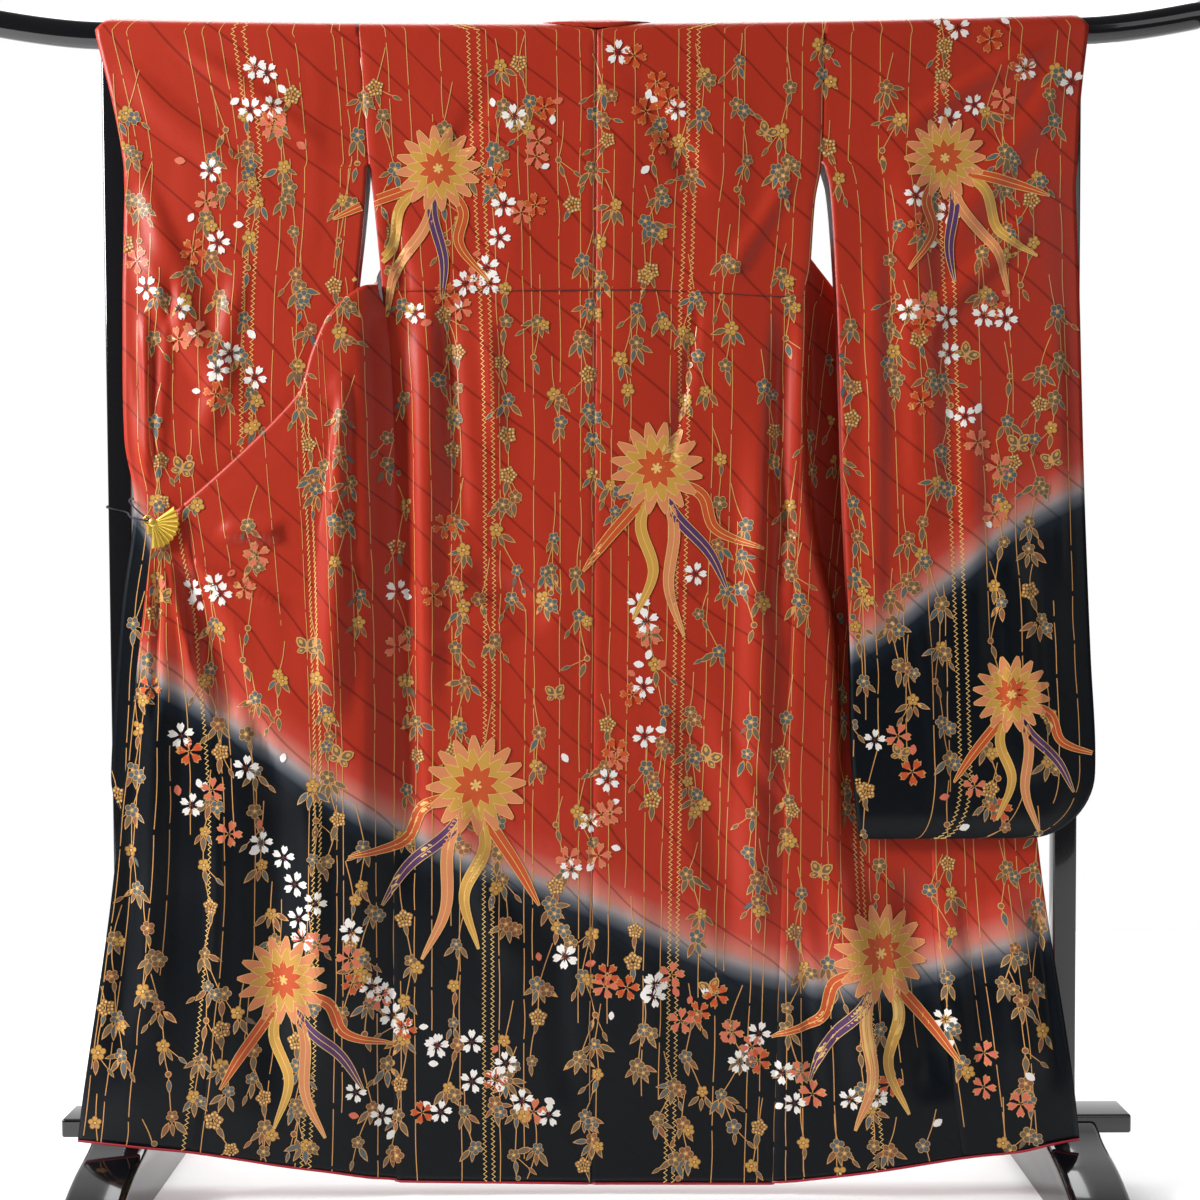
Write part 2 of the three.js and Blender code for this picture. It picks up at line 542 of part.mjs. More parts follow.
// ---- The collar: from the left front's end, up, round the back of the neck, and down to the right ----
function collarGeometry() {
  const widths = spread(SEAM_GAP * 2, COLLAR.width, COLLAR.cells);
  const fronts = (side, list) => list.map((u) => widths.map((w) => innerEdge(side, u, 1, w).toArray()));
  const arcs = spread(0, NECK.arc * LAY, ROD_ROWS).slice(1);
  const neck = (side, list) =>
    list.map((arc) => {
      const half = neckHalf(arc);
      const [dx, da] = [-half / NECK.half, -Math.hypot(1 - half / NECK.half, 0.25) - arc / (NECK.arc * LAY)];
      const length = Math.hypot(dx, da);
      const swell = COLLAR.swell * smooth(1.4 - half / NECK.half);
      return widths.map((w) =>
        overRod(NECK.centre + side * (half + (dx / length) * w), arc + (da / length) * w, 0.9 + swell * smooth(w / 12)),
      );
    });
  const left = [...neck(-1, arcs)].reverse();
  const grid = [...fronts(-1, [...REAR_STEPS].reverse()), ...left.slice(1).reverse()];
  grid.push(left[0], ...left.slice(1).map((row) => row.map(([x, y, z]) => [2 * NECK.centre - x, y, z])));
  return wall([...grid, ...fronts(1, REAR_STEPS)], undefined, COLLAR.wall);
}

// ---- The sleeves: a bag open at the wrist and all along its inner side ----
function sleeveGeometry(side) {
  const table = SLEEVE_SECTIONS[side];
  const at = (column, z) => track(table, "z", column, z);
  const corner = [0, 0.3, 0.62, 1].map((v) => SLEEVE_BOTTOM + SLEEVE_CORNER * v ** 1.5);
  const levels = [...corner, ...spread(640, CUFF, 9)];
  const cuffLevel = levels.length - 1;
  const aboveCuff = [1400, 1440, 1490];
  const bodyEdge = REAR_STEPS.map((u) => rearPoint(side, 0, u)).filter(({ z }) => z > ARMHOLE + 4 && z < 1560);
  const columns = spread(0, 1, SLEEVE_CELLS);

  const outerLimit = (z) => {
    const drop = clamp(1 - (z - SLEEVE_BOTTOM) / SLEEVE_CORNER);
    return at("outer", z) - SLEEVE_CORNER * (1 - Math.sqrt(1 - drop * drop));
  };
  const rearOuter = (z) => lerp(outerLimit(z), CUFF_INSET, smooth((z - CUFF) / 24));
  // Where the layers are sewn together they come close: at the outer edge below the wrist, and at the bottom.
  const closing = (c, z) => Math.max(smooth((c - 0.8) / 0.2) * smooth((CUFF + 20 - z) / 30), smooth(1 - (z - SLEEVE_BOTTOM) / 60));
  const pinch = (y, c, z) => {
    const middle = (at("front", z) + at("rear", z)) / 2;
    return lerp(y, middle + Math.sign(y - middle) * (WALL / 2 + 1), closing(c, z));
  };
  const front = (c, z) => {
    const sewn = z > ARMHOLE;
    const inner = sewn ? track(SIDE_EDGE[side], "z", "out", z) + SEAM_GAP / 2 : at("inner", z);
    const out = lerp(inner, outerLimit(z), c);
    const y = sewn ? lerp(track(SIDE_EDGE[side], "z", "y", z), at("front", z), smooth(c * 3)) : at("front", z);
    const folds = foldDepth(SLEEVE_FOLDS, side, out, z) * smooth(c * 6) * smooth((1 - c) * 6) * smooth((z - SLEEVE_BOTTOM) / 90);
    return [side * out, pinch(y, c, z) + Math.min(folds, 0) - 0.4 * Math.max(folds, 0), z];
  };
  const rear = (c, z, edge) => {
    const inner = edge ? Math.abs(edge.x) + SEAM_GAP : at("inner", z);
    const y = lerp(edge ? edge.y : at("innerRear", z), at("rear", z), smooth(c * 1.4));
    return [side * lerp(inner, rearOuter(z), c), pinch(y, c, z), z];
  };
  const shoulder = shoulderOut(side) + SEAM_GAP;
  const rodOuter = at("outer", 1566);
  const loop = [
    ...[...levels, ...aboveCuff].map((z) => columns.map((c) => front(c, z))),
    ...spread(Math.PI * LAY, 0, ROD_ROWS + 1).map((arc, i, all) =>
      columns.map((c) => overRod(side * lerp(shoulder, lerp(rodOuter, CUFF_INSET, i / (all.length - 1)), c), arc)),
    ),
    ...bodyEdge.map((edge) => columns.map((c) => rear(c, edge.z, edge))),
    ...[...levels, ARMHOLE - 2].reverse().map((z) => columns.map((c) => rear(c, z))),
  ];
  const rows = loop.length;
  const last = SLEEVE_CELLS;
  const vertices = wallVertices(loop, gridNormals(loop, true), WALL);
  const index = (face, r, c) => (face * rows + (r % rows)) * (last + 1) + c;
  const quads = [];
  for (let r = 0; r < rows; r++) {
    for (let c = 0; c < last; c++) {
      quads.push([index(0, r, c), index(0, r, c + 1), index(0, r + 1, c + 1), index(0, r + 1, c)]);
      quads.push([index(1, r, c), index(1, r + 1, c), index(1, r + 1, c + 1), index(1, r, c + 1)]);
    }
    quads.push([index(0, r, 0), index(0, r + 1, 0), index(1, r + 1, 0), index(1, r, 0)]);
    if (r >= cuffLevel && r < rows - 1 - cuffLevel)
      quads.push([index(0, r, last), index(1, r, last), index(1, r + 1, last), index(0, r + 1, last)]);
  }
  const rearRow = (level) => rows - 1 - level;
  for (let k = 0; k < cuffLevel; k++) {
    const [a, b, d, e] = [k, k + 1, rearRow(k), rearRow(k + 1)];
    quads.push([index(0, b, last), index(0, a, last), index(0, d, last), index(0, e, last)]);
    quads.push([index(1, a, last), index(1, b, last), index(1, e, last), index(1, d, last)]);
  }
  const [f, g] = [cuffLevel, rearRow(cuffLevel)];
  quads.push([index(1, f, last), index(0, f, last), index(0, g, last), index(1, g, last)]);
  return meshGeometry(vertices, quads);
}

// ---- The rolled edge of the lining, which shows below the hem ----
const HEM_ROLL = 1.8;
function hemGeometry(left, right) {
  const line = [...left, ...[...right].reverse()];
  const lowered = line.map(([x, y, z]) => [x, y, z - SEAM_GAP - HEM_ROLL]);
  const apart = lowered.filter((p, i) => !i || vec(p).distanceTo(vec(lowered[i - 1])) > 4);
  return bar(apart, HEM_ROLL, 6);
}

// ---- The fan clip ----
function fanGeometry() {
  const turns = spread(FAN.from, FAN.to, FAN.pleats * 2);
  const radii = [FAN.hub, FAN.radius * 0.4, FAN.radius];
  const grid = radii.map((r) =>
    turns.map((degrees, i) => {
      const a = (degrees * Math.PI) / 180;
      const pleat = (i % 2 ? 1 : -1) * FAN.pleat * (r / FAN.radius);
      return [-FAN.out + r * Math.cos(a), FAN.y + pleat, FAN.z + r * Math.sin(a)];
    }),
  );
  return wall(grid, undefined, FAN.plate);
}

function ringGeometry() {
  const ring = new THREE.TorusGeometry(RING.radius, RING.tube, 8, 20);
  return ring.rotateX(Math.PI / 2).translate(-RING.out, FAN.y, RING.z);
}

// The clip's spring plate passes round the gathered edge.
function jawGeometry() {
  const path = [
    [JAW.inner + 12, JAW.front],
    [JAW.out - 2, JAW.front],
    [JAW.out, JAW.front + 3],
    [JAW.out, JAW.rear - 3],
    [JAW.out - 2, JAW.rear],
    [JAW.inner, JAW.rear],
  ];
  const grid = [JAW.low, JAW.low + JAW.height].map((z) => path.map(([out, y]) => [-out, y, z]));
  return wall(grid, undefined, JAW.plate);
}

// ---- The stand ----
const asSolid = (geometry) => {
  const merged = geometry.clone();
  merged.deleteAttribute("normal");
  merged.deleteAttribute("uv");
  const joined = mergeVertices(merged, 1e-3);
  const vertProperties = new Float32Array(joined.attributes.position.array);
  return new wasm.Manifold(new wasm.Mesh({ numProp: 3, vertProperties, triVerts: new Uint32Array(joined.index.array) }));
};
const asGeometry = (solid) => {
  const mesh = solid.getMesh();
  const geometry = new THREE.BufferGeometry();
  geometry.setAttribute("position", new THREE.BufferAttribute(mesh.vertProperties, 3));
  geometry.setIndex(new THREE.BufferAttribute(mesh.triVerts, 1));
  return geometry;
};
const cutAway = (geometry, cutter) => asGeometry(asSolid(geometry).subtract(asSolid(cutter)));

const ROD_END = 9; // length of the rounded end
function rodGeometry(from, to, radius, sides) {
  const xs = from <= -ROD.half ? [0, 2, 5, ROD_END, 40, 90].map((v) => from + v) : [from];
  const middle = spread(-ROD.straight, ROD.straight, 12).filter((x) => x > from && x < to);
  const all = [...xs, ...middle, ...[...xs].reverse().map((x) => to + from - x)];
  const round = (i) => {
    const beyond = clamp((Math.abs(all[i]) - ROD.half + ROD_END) / ROD_END);
    return radius * (0.45 + 0.55 * Math.sqrt(1 - beyond * beyond));
  };
  return bar(all.map((x) => [x, 0, rodHeight(x)]), from <= -ROD.half ? round : radius, sides);
}

function roundedOutline(width, depth, corner) {
  const [w, d] = [width / 2, depth / 2];
  const shape = new THREE.Shape();
  shape.moveTo(-w + corner, -d).lineTo(w - corner, -d);
  shape.absarc(w - corner, -d + corner, corner, -Math.PI / 2, 0);
  shape.absarc(w - corner, d - corner, corner, 0, Math.PI / 2);
  shape.absarc(-w + corner, d - corner, corner, Math.PI / 2, Math.PI);
  shape.absarc(-w + corner, -d + corner, corner, Math.PI, 1.5 * Math.PI);
  return shape;
}

function postGeometry(side) {
  const low = BAR.top + SEAM_GAP;
  const high = rodHeight(POST.out);
  const outline = roundedOutline(POST.width, POST.depth, POST.corner);
  const post = new THREE.ExtrudeGeometry(outline, { depth: high - low, bevelEnabled: false, curveSegments: 3 });
  post.translate(side * POST.out, 0, low);
  const [a, b] = [side * POST.out - POST.width, side * POST.out + POST.width];
  return cutAway(post, rodGeometry(a, b, ROD.radius + 0.8, 32));
}

function barGeometry() {
  const edge = 3;
  const outline = roundedOutline(2 * BAR.half - 2 * edge, BAR.depth - 2 * edge, BAR.corner);
  const options = { depth: BAR.height - 2 * edge, bevelSize: edge, bevelThickness: edge, bevelSegments: 2, curveSegments: 3 };
  return new THREE.ExtrudeGeometry(outline, options).translate(0, 0, BAR.top - BAR.height + edge);
}

// The foot's top, falling from under the bar to the toe on both sides.
const FOOT_TOP = [
  { y: 0, z: FOOT.crown },
  { y: 30, z: 98 },
  { y: 60, z: 84 },
  { y: 122, z: 68 },
  { y: 167, z: 49 },
  { y: 200, z: 29 },
  { y: FOOT.half, z: FOOT.toe },
];
function footGeometry(side) {
  const half = FOOT.width / 2;
  const stations = [...spread(-FOOT.half, -60, 7), -40, -20, 0, 20, 40, ...spread(60, FOOT.half, 7)];
  const section = (y) => {
    const top = track(FOOT_TOP, "y", "z", Math.abs(y));
    const r = Math.min(FOOT.shoulder, top * 0.7);
    const round = spread(0, Math.PI / 2, 4).map((a) => [half - r + r * Math.cos(a), top - r + r * Math.sin(a)]);
    const right = [[half, 0], ...round];
    return [...right, ...[...right].reverse().map(([x, z]) => [-x, z])].map(([x, z]) => [side * POST.out + x, y, z]);
  };
  const rings = stations.map(section);
  const count = rings[0].length;
  const quads = [];
  for (let i = 0; i < rings.length - 1; i++)
    for (let k = 0; k < count; k++) {
      const next = (k + 1) % count;
      quads.push([i * count + k, i * count + next, (i + 1) * count + next, (i + 1) * count + k]);
    }
  for (const end of [0, rings.length - 1])
    for (let k = 1; k < count - 1; k++) {
      const face = [end * count, end * count + k + 1, end * count + k];
      quads.push(end ? face.reverse() : face);
    }
  const foot = meshGeometry(rings.flat(), quads);
  const notch = new THREE.BoxGeometry(2 * FOOT.width, BAR.depth + 2 * SEAM_GAP, 2 * BAR.height);
  notch.translate(side * POST.out, 0, BAR.top - SEAM_GAP);
  return cutAway(foot, notch);
}

// ---- The whole object ----
const kimono = new THREE.Group();
const stand = new THREE.Group();
function add(group, name, geometry, material) {
  const mesh = new THREE.Mesh(geometry, material);
  mesh.name = name;
  group.add(mesh);
}

const hems = {};
for (const [side, word] of [[-1, "left"], [1, "right"]]) {
  const { body, okumi, hem } = bodyAndOkumi(side);
  hems[word] = hem;
  add(kimono, `body_${word}`, body, RED_SILK);
  add(kimono, `okumi_${word}`, okumi, NAVY_SILK);
  add(kimono, `sleeve_${word}`, sleeveGeometry(side), RED_SILK);
  add(stand, `post_${word}`, postGeometry(side), BLACK_LACQUER);
  add(stand, `foot_${word}`, footGeometry(side), BLACK_LACQUER);
}
add(kimono, "collar", collarGeometry(), RED_SILK);
add(kimono, "hem_lining_edge", hemGeometry(hems.left, hems.right), SCARLET_EDGE);
add(stand, "rod", rodGeometry(-ROD.half, ROD.half, ROD.radius, 20), BLACK_LACQUER);
add(stand, "crossbar", barGeometry(), BLACK_LACQUER);
add(kimono, "clip_fan", fanGeometry(), POLISHED_GOLD);
add(kimono, "clip_ring", ringGeometry(), POLISHED_GOLD);
add(kimono, "clip_jaw", jawGeometry(), POLISHED_GOLD);
add(kimono, "tie_cord", bar(smoothRoute(CORD_ROUTE, -1, 64, true).slice(0, -1), CORD_RADIUS, 8, true), PLUM_CORD);

const furisode = new THREE.Group();
furisode.add(kimono, stand);
export default furisode;
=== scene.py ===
"""A furisode kimono hung open over a black lacquered stand, its back to the camera."""

import math
import random

import bmesh
import bpy
import numpy as np
from mathutils import Matrix, Vector, noise
from mathutils.bvhtree import BVHTree


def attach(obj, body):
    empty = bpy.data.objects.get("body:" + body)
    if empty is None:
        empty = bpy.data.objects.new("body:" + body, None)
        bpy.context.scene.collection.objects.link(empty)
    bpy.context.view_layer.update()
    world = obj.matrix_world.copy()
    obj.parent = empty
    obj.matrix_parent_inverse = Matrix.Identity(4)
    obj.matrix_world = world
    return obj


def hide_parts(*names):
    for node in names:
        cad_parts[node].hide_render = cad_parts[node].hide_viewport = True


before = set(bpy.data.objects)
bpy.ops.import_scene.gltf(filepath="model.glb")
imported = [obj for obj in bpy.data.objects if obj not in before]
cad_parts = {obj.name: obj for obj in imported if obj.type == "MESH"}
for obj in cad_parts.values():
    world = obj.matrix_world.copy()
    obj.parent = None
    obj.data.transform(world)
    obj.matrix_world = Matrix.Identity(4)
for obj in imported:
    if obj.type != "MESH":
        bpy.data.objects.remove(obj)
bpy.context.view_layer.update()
MM = 0.001  # sizes below are in millimetres

# ---- Camera ----
camera = bpy.data.objects.new("camera", bpy.data.cameras.new("camera"))
bpy.context.scene.collection.objects.link(camera)
camera.data.sensor_width, camera.data.lens = 36, 46.3
camera.data.shift_x, camera.data.shift_y = 0.005, 0.025
tilt, roll = Matrix.Rotation(math.radians(88), 4, "X"), Matrix.Rotation(math.radians(-0.27), 4, "Z")
camera.matrix_world = Matrix.Translation((0, -2.1, 0.841)) @ tilt @ roll
bpy.context.scene.camera = camera


# ---- Small maths, the same as the solids use ----
def lerp(a, b, t):
    return a + (b - a) * t


def clamp(v):
    return min(1.0, max(0.0, v))


def smooth(v):
    v = clamp(v)
    return v * v * (3 - 2 * v)


def bell(v):
    return (1 - v * v) ** 2 if abs(v) < 1 else 0.0


def spread(start, end, cells):
    return [lerp(start, end, i / cells) for i in range(cells + 1)]


def table(columns, *rows):
    return {name: [row[i] for row in rows] for i, name in enumerate(columns.split())}


def track(rows, key, column, at):
    """A smooth value of one column of a table, at a value of its key column."""
    k, v = rows[key], rows[column]
    at = min(k[-1], max(k[0], at))
    i = 0
    while i < len(k) - 2 and at > k[i + 1]:
        i += 1

    def slope(j):
        a, b = max(0, j - 1), min(len(k) - 1, j + 1)
        return (v[b] - v[a]) / (k[b] - k[a])

    span = k[i + 1] - k[i]
    t = (at - k[i]) / span
    t2, t3 = t * t, t * t * t
    return (
        (2 * t3 - 3 * t2 + 1) * v[i]
        + (t3 - 2 * t2 + t) * span * slope(i)
        + (3 * t2 - 2 * t3) * v[i + 1]
        + (t3 - t2) * span * slope(i + 1)
    )


def smooth_path(points, t):
    """A point of the centripetal Catmull-Rom curve through the points."""
    last = len(points) - 1
    i = min(last - 1, int(t * last))
    w = t * last - i
    p1, p2 = points[i], points[i + 1]
    p0 = points[i - 1] if i else p1 * 2 - p2
    p3 = points[i + 2] if i + 2 <= last else p2 * 2 - p1
    d0, d1, d2 = ((b - a).length ** 0.5 for a, b in ((p0, p1), (p1, p2), (p2, p3)))
    m1 = ((p1 - p0) / d0 - (p2 - p0) / (d0 + d1) + (p2 - p1) / d1) * d1
    m2 = ((p2 - p1) / d1 - (p3 - p1) / (d1 + d2) + (p3 - p2) / d2) * d1
    return p1 + m1 * w + (p1 * -3 + p2 * 3 - m1 * 2 - m2) * w**2 + (p1 * 2 - p2 * 2 + m1 + m2) * w**3


# ---- Sizes of the stand and of the cloth's lie ----
ROD = dict(radius=18.5, half=825, centre=1561, bow=9.5, straight=665, sweep=17)
POST = dict(out=640, width=32, depth=22)
BAR = dict(half=727, depth=58, height=26, top=107)
FOOT = dict(width=80, half=222)
LAY = ROD["radius"] + 1.8  # radius of the cloth over the rod
NECK = dict(half=90, centre=8, arc=math.pi * 6 / 7)
ARMHOLE, CUFF, CUFF_INSET = 1392, 1362, 610
SHOULDER, TUCK = 1566, 1222  # heights of the cloth at its outer end on the rod, and of the sewn tuck
SEAM = 0.15  # half the gap between two panels
FOLD_HALF = 4.5  # half the depth of a turned fold


def rod_height(x):
    beyond = clamp((abs(x) - ROD["straight"]) / (ROD["half"] - ROD["straight"]))
    return ROD["centre"] + ROD["bow"] * (x / ROD["straight"]) ** 2 + ROD["sweep"] * beyond**1.6


def over_rod(x, arc, lift=0.0):
    """A point of the cloth over the rod; arc runs along it from the rod's rear."""
    r, z = LAY + lift, rod_height(x)
    if arc < 0:
        return Vector((x, r, z + arc))
    return Vector((x, r * math.cos(arc / LAY), z + r * math.sin(arc / LAY)))


SIDE_EDGE = {
    -1: table(
        "z out y",
        (25, 272, -38), (130, 275, -34), (404, 274, -28), (810, 270, -26), (1078, 272, -25),
        (1222, 281, -23), (1304, 288, -22), (1373, 295, -21), (ARMHOLE, 298, -20.5), (SHOULDER, 309, -LAY),
    ),
    1: table(
        "z out y",
        (19, 240, -37), (200, 247, -32), (600, 262, -28), (810, 272, -27), (1000, 281, -26),
        (1222, 285, -25), (1250, 291, -24), (1340, 298, -22), (ARMHOLE, 307, -20.5), (SHOULDER, 310, -LAY),
    ),
}
CENTRE_BACK = table("z y", (19, -34), (130, -33), (400, -28), (900, -25), (1222, -23), (ROD["centre"], -LAY))
FRONT_HEM = {
    -1: table(
        "s out y z",
        (0, 272, -38, 25), (0.33, 354, -50, 42), (0.6, 422, -57, 54), (1, 531, -68, 76),
        (1.45, 604, -76, 87), (2, 688, -77, 97),
    ),
    1: table(
        "s out y z",
        (0, 240, -37, 19), (0.55, 374, -56, 42), (1, 490, -61, 62), (1.5, 566, -70, 74),
        (1.75, 606, -76, 86), (2, 641, -77, 93),
    ),
}
TURNED_FOLD = {
    -1: table(
        "s out y z",
        (0, 285, -27, 1227), (0.1, 307, -38, 1221), (0.22, 344, -42, 1189), (0.36, 368, -42, 1140),
        (0.52, 391, -42, 1078), (1, 542, -42, 936), (2, 584, -43, 914),
    ),
    1: table("s out y z", (0, 292, 20, 1272), (0.5, 412, 20, 1118), (1, 524, 20, 979), (2, 556, 20, 938)),
}
RIGHT_STEP = table(
    "z out step near deep",
    (19, 300, 160, -38, -64), (130, 300, 150, -33, -47), (280, 305, 130, -29, -27), (430, 322, 60, -29, -15),
    (500, 328, 18, -29, -9), (620, 325, 18, -29, -2), (790, 316, 18, -29, 8), (875, 298, 16, -28, 12),
    (1000, 284, 14, -26, 15), (1280, 286, 14, -25, 16),
)
GATE = {
    -1: dict(out=291, y=2, high=1246, low=1072, before=281, before_y=12),
    1: dict(out=286, y=22.5, high=1288, low=1096, before=268, before_y=19.5),
}
GATE_LIFT, PAST_GATE, OKUMI_AT_GATE = 34, dict(out=304, y=-31), 62
WING_BELLY = {-1: -37, 1: -42}
WING_ROOT = {-1: 42, 1: 10}
SLEEVE_BOTTOM, SLEEVE_CORNER = 484, 88
SLEEVE_SECTIONS = {
    -1: table(
        "z inner outer front rear inner_rear",
        (484, 357, 655, -24, -15, -15), (600, 345, 653, -25, -14, -13), (800, 332, 636, -25, -14, -12),
        (942, 328, 617, -25, -14, -11), (1026, 325, 629, -25, -14, -9), (1205, 316, 629, -24, -14, -3),
        (1304, 306, 626, -24, -14, 5), (CUFF, 301, 624, -23, -14, 12), (ARMHOLE, 300, 624, -23, -13.5, 16),
        (1464, 303, 636, -22, 10, 18), (SHOULDER, 309, 660, -20, 20, 20),
    ),
    1: table(
        "z inner outer front rear inner_rear",
        (484, 357, 672, -30, -17, -17), (600, 347, 676, -30, -16, -15), (733, 344, 669, -29, -15, -12),
        (937, 335, 660, -28, -15, -9), (1098, 330, 655, -27, -14, -5), (1205, 326, 652, -26, -14, 0),
        (1304, 321, 648, -25, -14, 7), (CUFF, 316, 646, -24, -14, 13), (ARMHOLE, 309, 647, -23, -13.5, 16),
        (1468, 308, 651, -22, 10, 18), (SHOULDER, 310, 662, -20, 20, 20),
    ),
}

# ---- Creases ----
# Each has its side, its top and bottom (out and height), half its width, and its depth;
# a depth below 0 stands out.
BACK_CREASES = [
    (-1, 262, 1180, 248, 420, 26, 7), (-1, 222, 1240, 226, 640, 30, -5), (-1, 170, 850, 60, 780, 34, 4),
    (1, 258, 1200, 236, 760, 24, 6), (1, 226, 1050, 214, 330, 34, -6), (1, 120, 700, 200, 300, 40, 4),
    (-1, 196, 1200, 176, 900, 20, 3.5), (-1, 140, 1190, 128, 1010, 16, -2),
    (-1, 268, 1330, 246, 1214, 14, 2.5),
    (-1, 40, 835, 190, 792, 15, 1.6), (-1, 96, 770, 230, 752, 12, -1.4), (-1, 100, 1540, 190, 1400, 22, 2.6),
    (1, 40, 1540, 150, 1350, 24, 3), (1, 270, 1380, 180, 1238, 18, -2.6), (1, 90, 800, 232, 838, 14, 1.5),
    (1, 143, 1206, 104, 985, 9, 2.6), (1, 180, 640, 250, 520, 20, 2.6), (-1, 200, 560, 110, 300, 30, -3),
    (1, 60, 420, 90, 140, 26, -2.4), (-1, 60, 400, 40, 120, 26, 2.6), (1, 236, 1000, 268, 880, 12, 3),
]
WING_CREASES = [
    (-1, 375, 1105, 520, 945, 20, 7), (-1, 560, 885, 478, 640, 26, 9), (-1, 330, 1150, 352, 640, 30, -7),
    (-1, 410, 900, 500, 905, 24, -5), (-1, 430, 620, 440, 130, 44, 7), (-1, 575, 800, 600, 220, 30, -6),
    (1, 330, 450, 372, 120, 40, -7), (1, 430, 440, 455, 140, 42, 8), (1, 560, 430, 575, 160, 36, -6),
    (-1, 352, 1160, 500, 985, 9, -3), (-1, 392, 1045, 546, 922, 8, 4), (-1, 340, 1090, 372, 900, 13, 4.5),
    (-1, 318, 1180, 322, 800, 10, 3), (-1, 450, 985, 560, 905, 8, -3.4), (-1, 372, 880, 556, 896, 12, 1.6),
    (-1, 402, 800, 566, 876, 11, -2.6), (-1, 566, 880, 530, 700, 9, -4), (-1, 520, 830, 420, 560, 15, 4),
    (-1, 580, 860, 584, 640, 9, 4), (-1, 380, 560, 366, 180, 22, -3.4), (-1, 500, 540, 512, 150, 20, -3),
    (-1, 620, 520, 640, 180, 16, 3), (1, 272, 380, 300, 120, 16, 3), (1, 500, 420, 520, 150, 16, 3.4),
    (1, 600, 400, 612, 160, 12, 3),
]
REAR_CREASES = [
    (-1, 270, 1520, 282, 1300, 22, -6), (-1, 190, 1540, 268, 1230, 24, -8), (1, 250, 1520, 330, 1200, 24, -7),
    (1, 160, 1530, 400, 1120, 28, -9), (-1, 220, 1540, 276, 1270, 12, 4), (-1, 140, 1540, 262, 1180, 14, 4),
    (1, 205, 1540, 300, 1210, 14, 4), (1, 120, 1540, 280, 1130, 14, 4),
]
SLEEVE_CREASES = [
    (-1, 655, 1540, 420, 1330, 30, 5), (-1, 620, 1300, 470, 1060, 34, -5), (1, 650, 1530, 470, 1280, 32, 6),
    (1, 420, 1420, 450, 900, 40, -5), (1, 560, 860, 590, 560, 36, -5), (-1, 560, 1560, 360, 1420, 20, -3),
    (-1, 640, 1440, 520, 1180, 24, -3.4), (-1, 600, 1200, 596, 960, 16, -3.6),
    (-1, 470, 1250, 520, 1020, 22, -3),
    (1, 620, 1560, 400, 1430, 22, -3), (1, 600, 1330, 420, 1150, 26, -3.4), (1, 380, 1300, 372, 700, 22, -3),
    (-1, 640, 1300, 596, 925, 10, -6), (-1, 560, 1250, 590, 930, 12, 5), (-1, 600, 1200, 594, 930, 8, -4),
    (1, 500, 1120, 520, 640, 26, -2.6), (1, 620, 1200, 640, 800, 22, -2.6), (1, 440, 800, 470, 520, 20, -2.4),
]


CREASE_GAIN = 1.8  # all creases are deepened by this


def crease_depth(creases, side, out, z):
    total = 0.0
    for own, out0, z0, out1, z1, width, depth in creases:
        if own != side:
            continue
        dx, dz = out1 - out0, z1 - z0
        length = math.hypot(dx, dz)
        across = ((out - out0) * dz - (z - z0) * dx) / length / width
        if -1 < across < 1:
            along = ((out - out0) * dx + (z - z0) * dz) / length**2
            total += depth * bell(across) * smooth(along * 4 + 0.2) * smooth((1 - along) * 4 + 0.2)
    return total * CREASE_GAIN


def ripple(x, z, seed):
    """The small unevenness of silk that hangs free."""
    broad = noise.noise(Vector((x / 75, z / 300, seed)))
    fine = noise.noise(Vector((x / 30, z / 110, seed + 9)))
    return 3.2 * broad + 0.9 * fine


# ---- The body panels ----
def centre_x(z):
    return lerp(-7, NECK["centre"], clamp(z / ROD["centre"]))


def shoulder_out(side):
    return track(SIDE_EDGE[side], "z", "out", SHOULDER) - SEAM


def tuck_height(x):
    return TUCK - 10 * smooth((x - 64) / 213)


def back_point(side, s, t):
    edge = SIDE_EDGE[side]
    z = lerp(lerp(edge["z"][0], 19, s), rod_height(side * lerp(shoulder_out(side), 0, s)), t)
    out = track(edge, "z", "out", z) - SEAM
    x = lerp(side * out, centre_x(z) + side * SEAM, s)
    y = lerp(track(edge, "z", "y", z), track(CENTRE_BACK, "z", "y", z), smooth(s))
    free = smooth(t * 12) * smooth((1 - t) * 8)
    y += crease_depth(BACK_CREASES, side, abs(x), z) * free
    y += 0.8 * ripple(x, z, 1) * free * smooth(s * 9) * smooth((1 - s) * 9)
    above = z - tuck_height(x)
    y -= 1.9 * smooth(above / 1.3) * (1 - smooth(above / 46))
    hangs = 1 if z < ROD["centre"] - 8 else 0
    y += 1.3 * (1 - smooth(min(s, 1 - s) * 290 / 5)) * hangs
    if side < 0:
        tucked = (1 - smooth((1 - s) * 290 / 4)) * hangs
        x, y = x + 3 * tucked, y + 1.3 * tucked
    return Vector((x, y, z))


def neck_half(arc):
    turn = arc / LAY / NECK["arc"]
    return NECK["half"] * math.sqrt(max(0, 1 - turn * turn))


def fold_point(side, s):
    rows = TURNED_FOLD[side]
    return Vector((side * track(rows, "s", "out", s), track(rows, "s", "y", s), track(rows, "s", "z", s)))


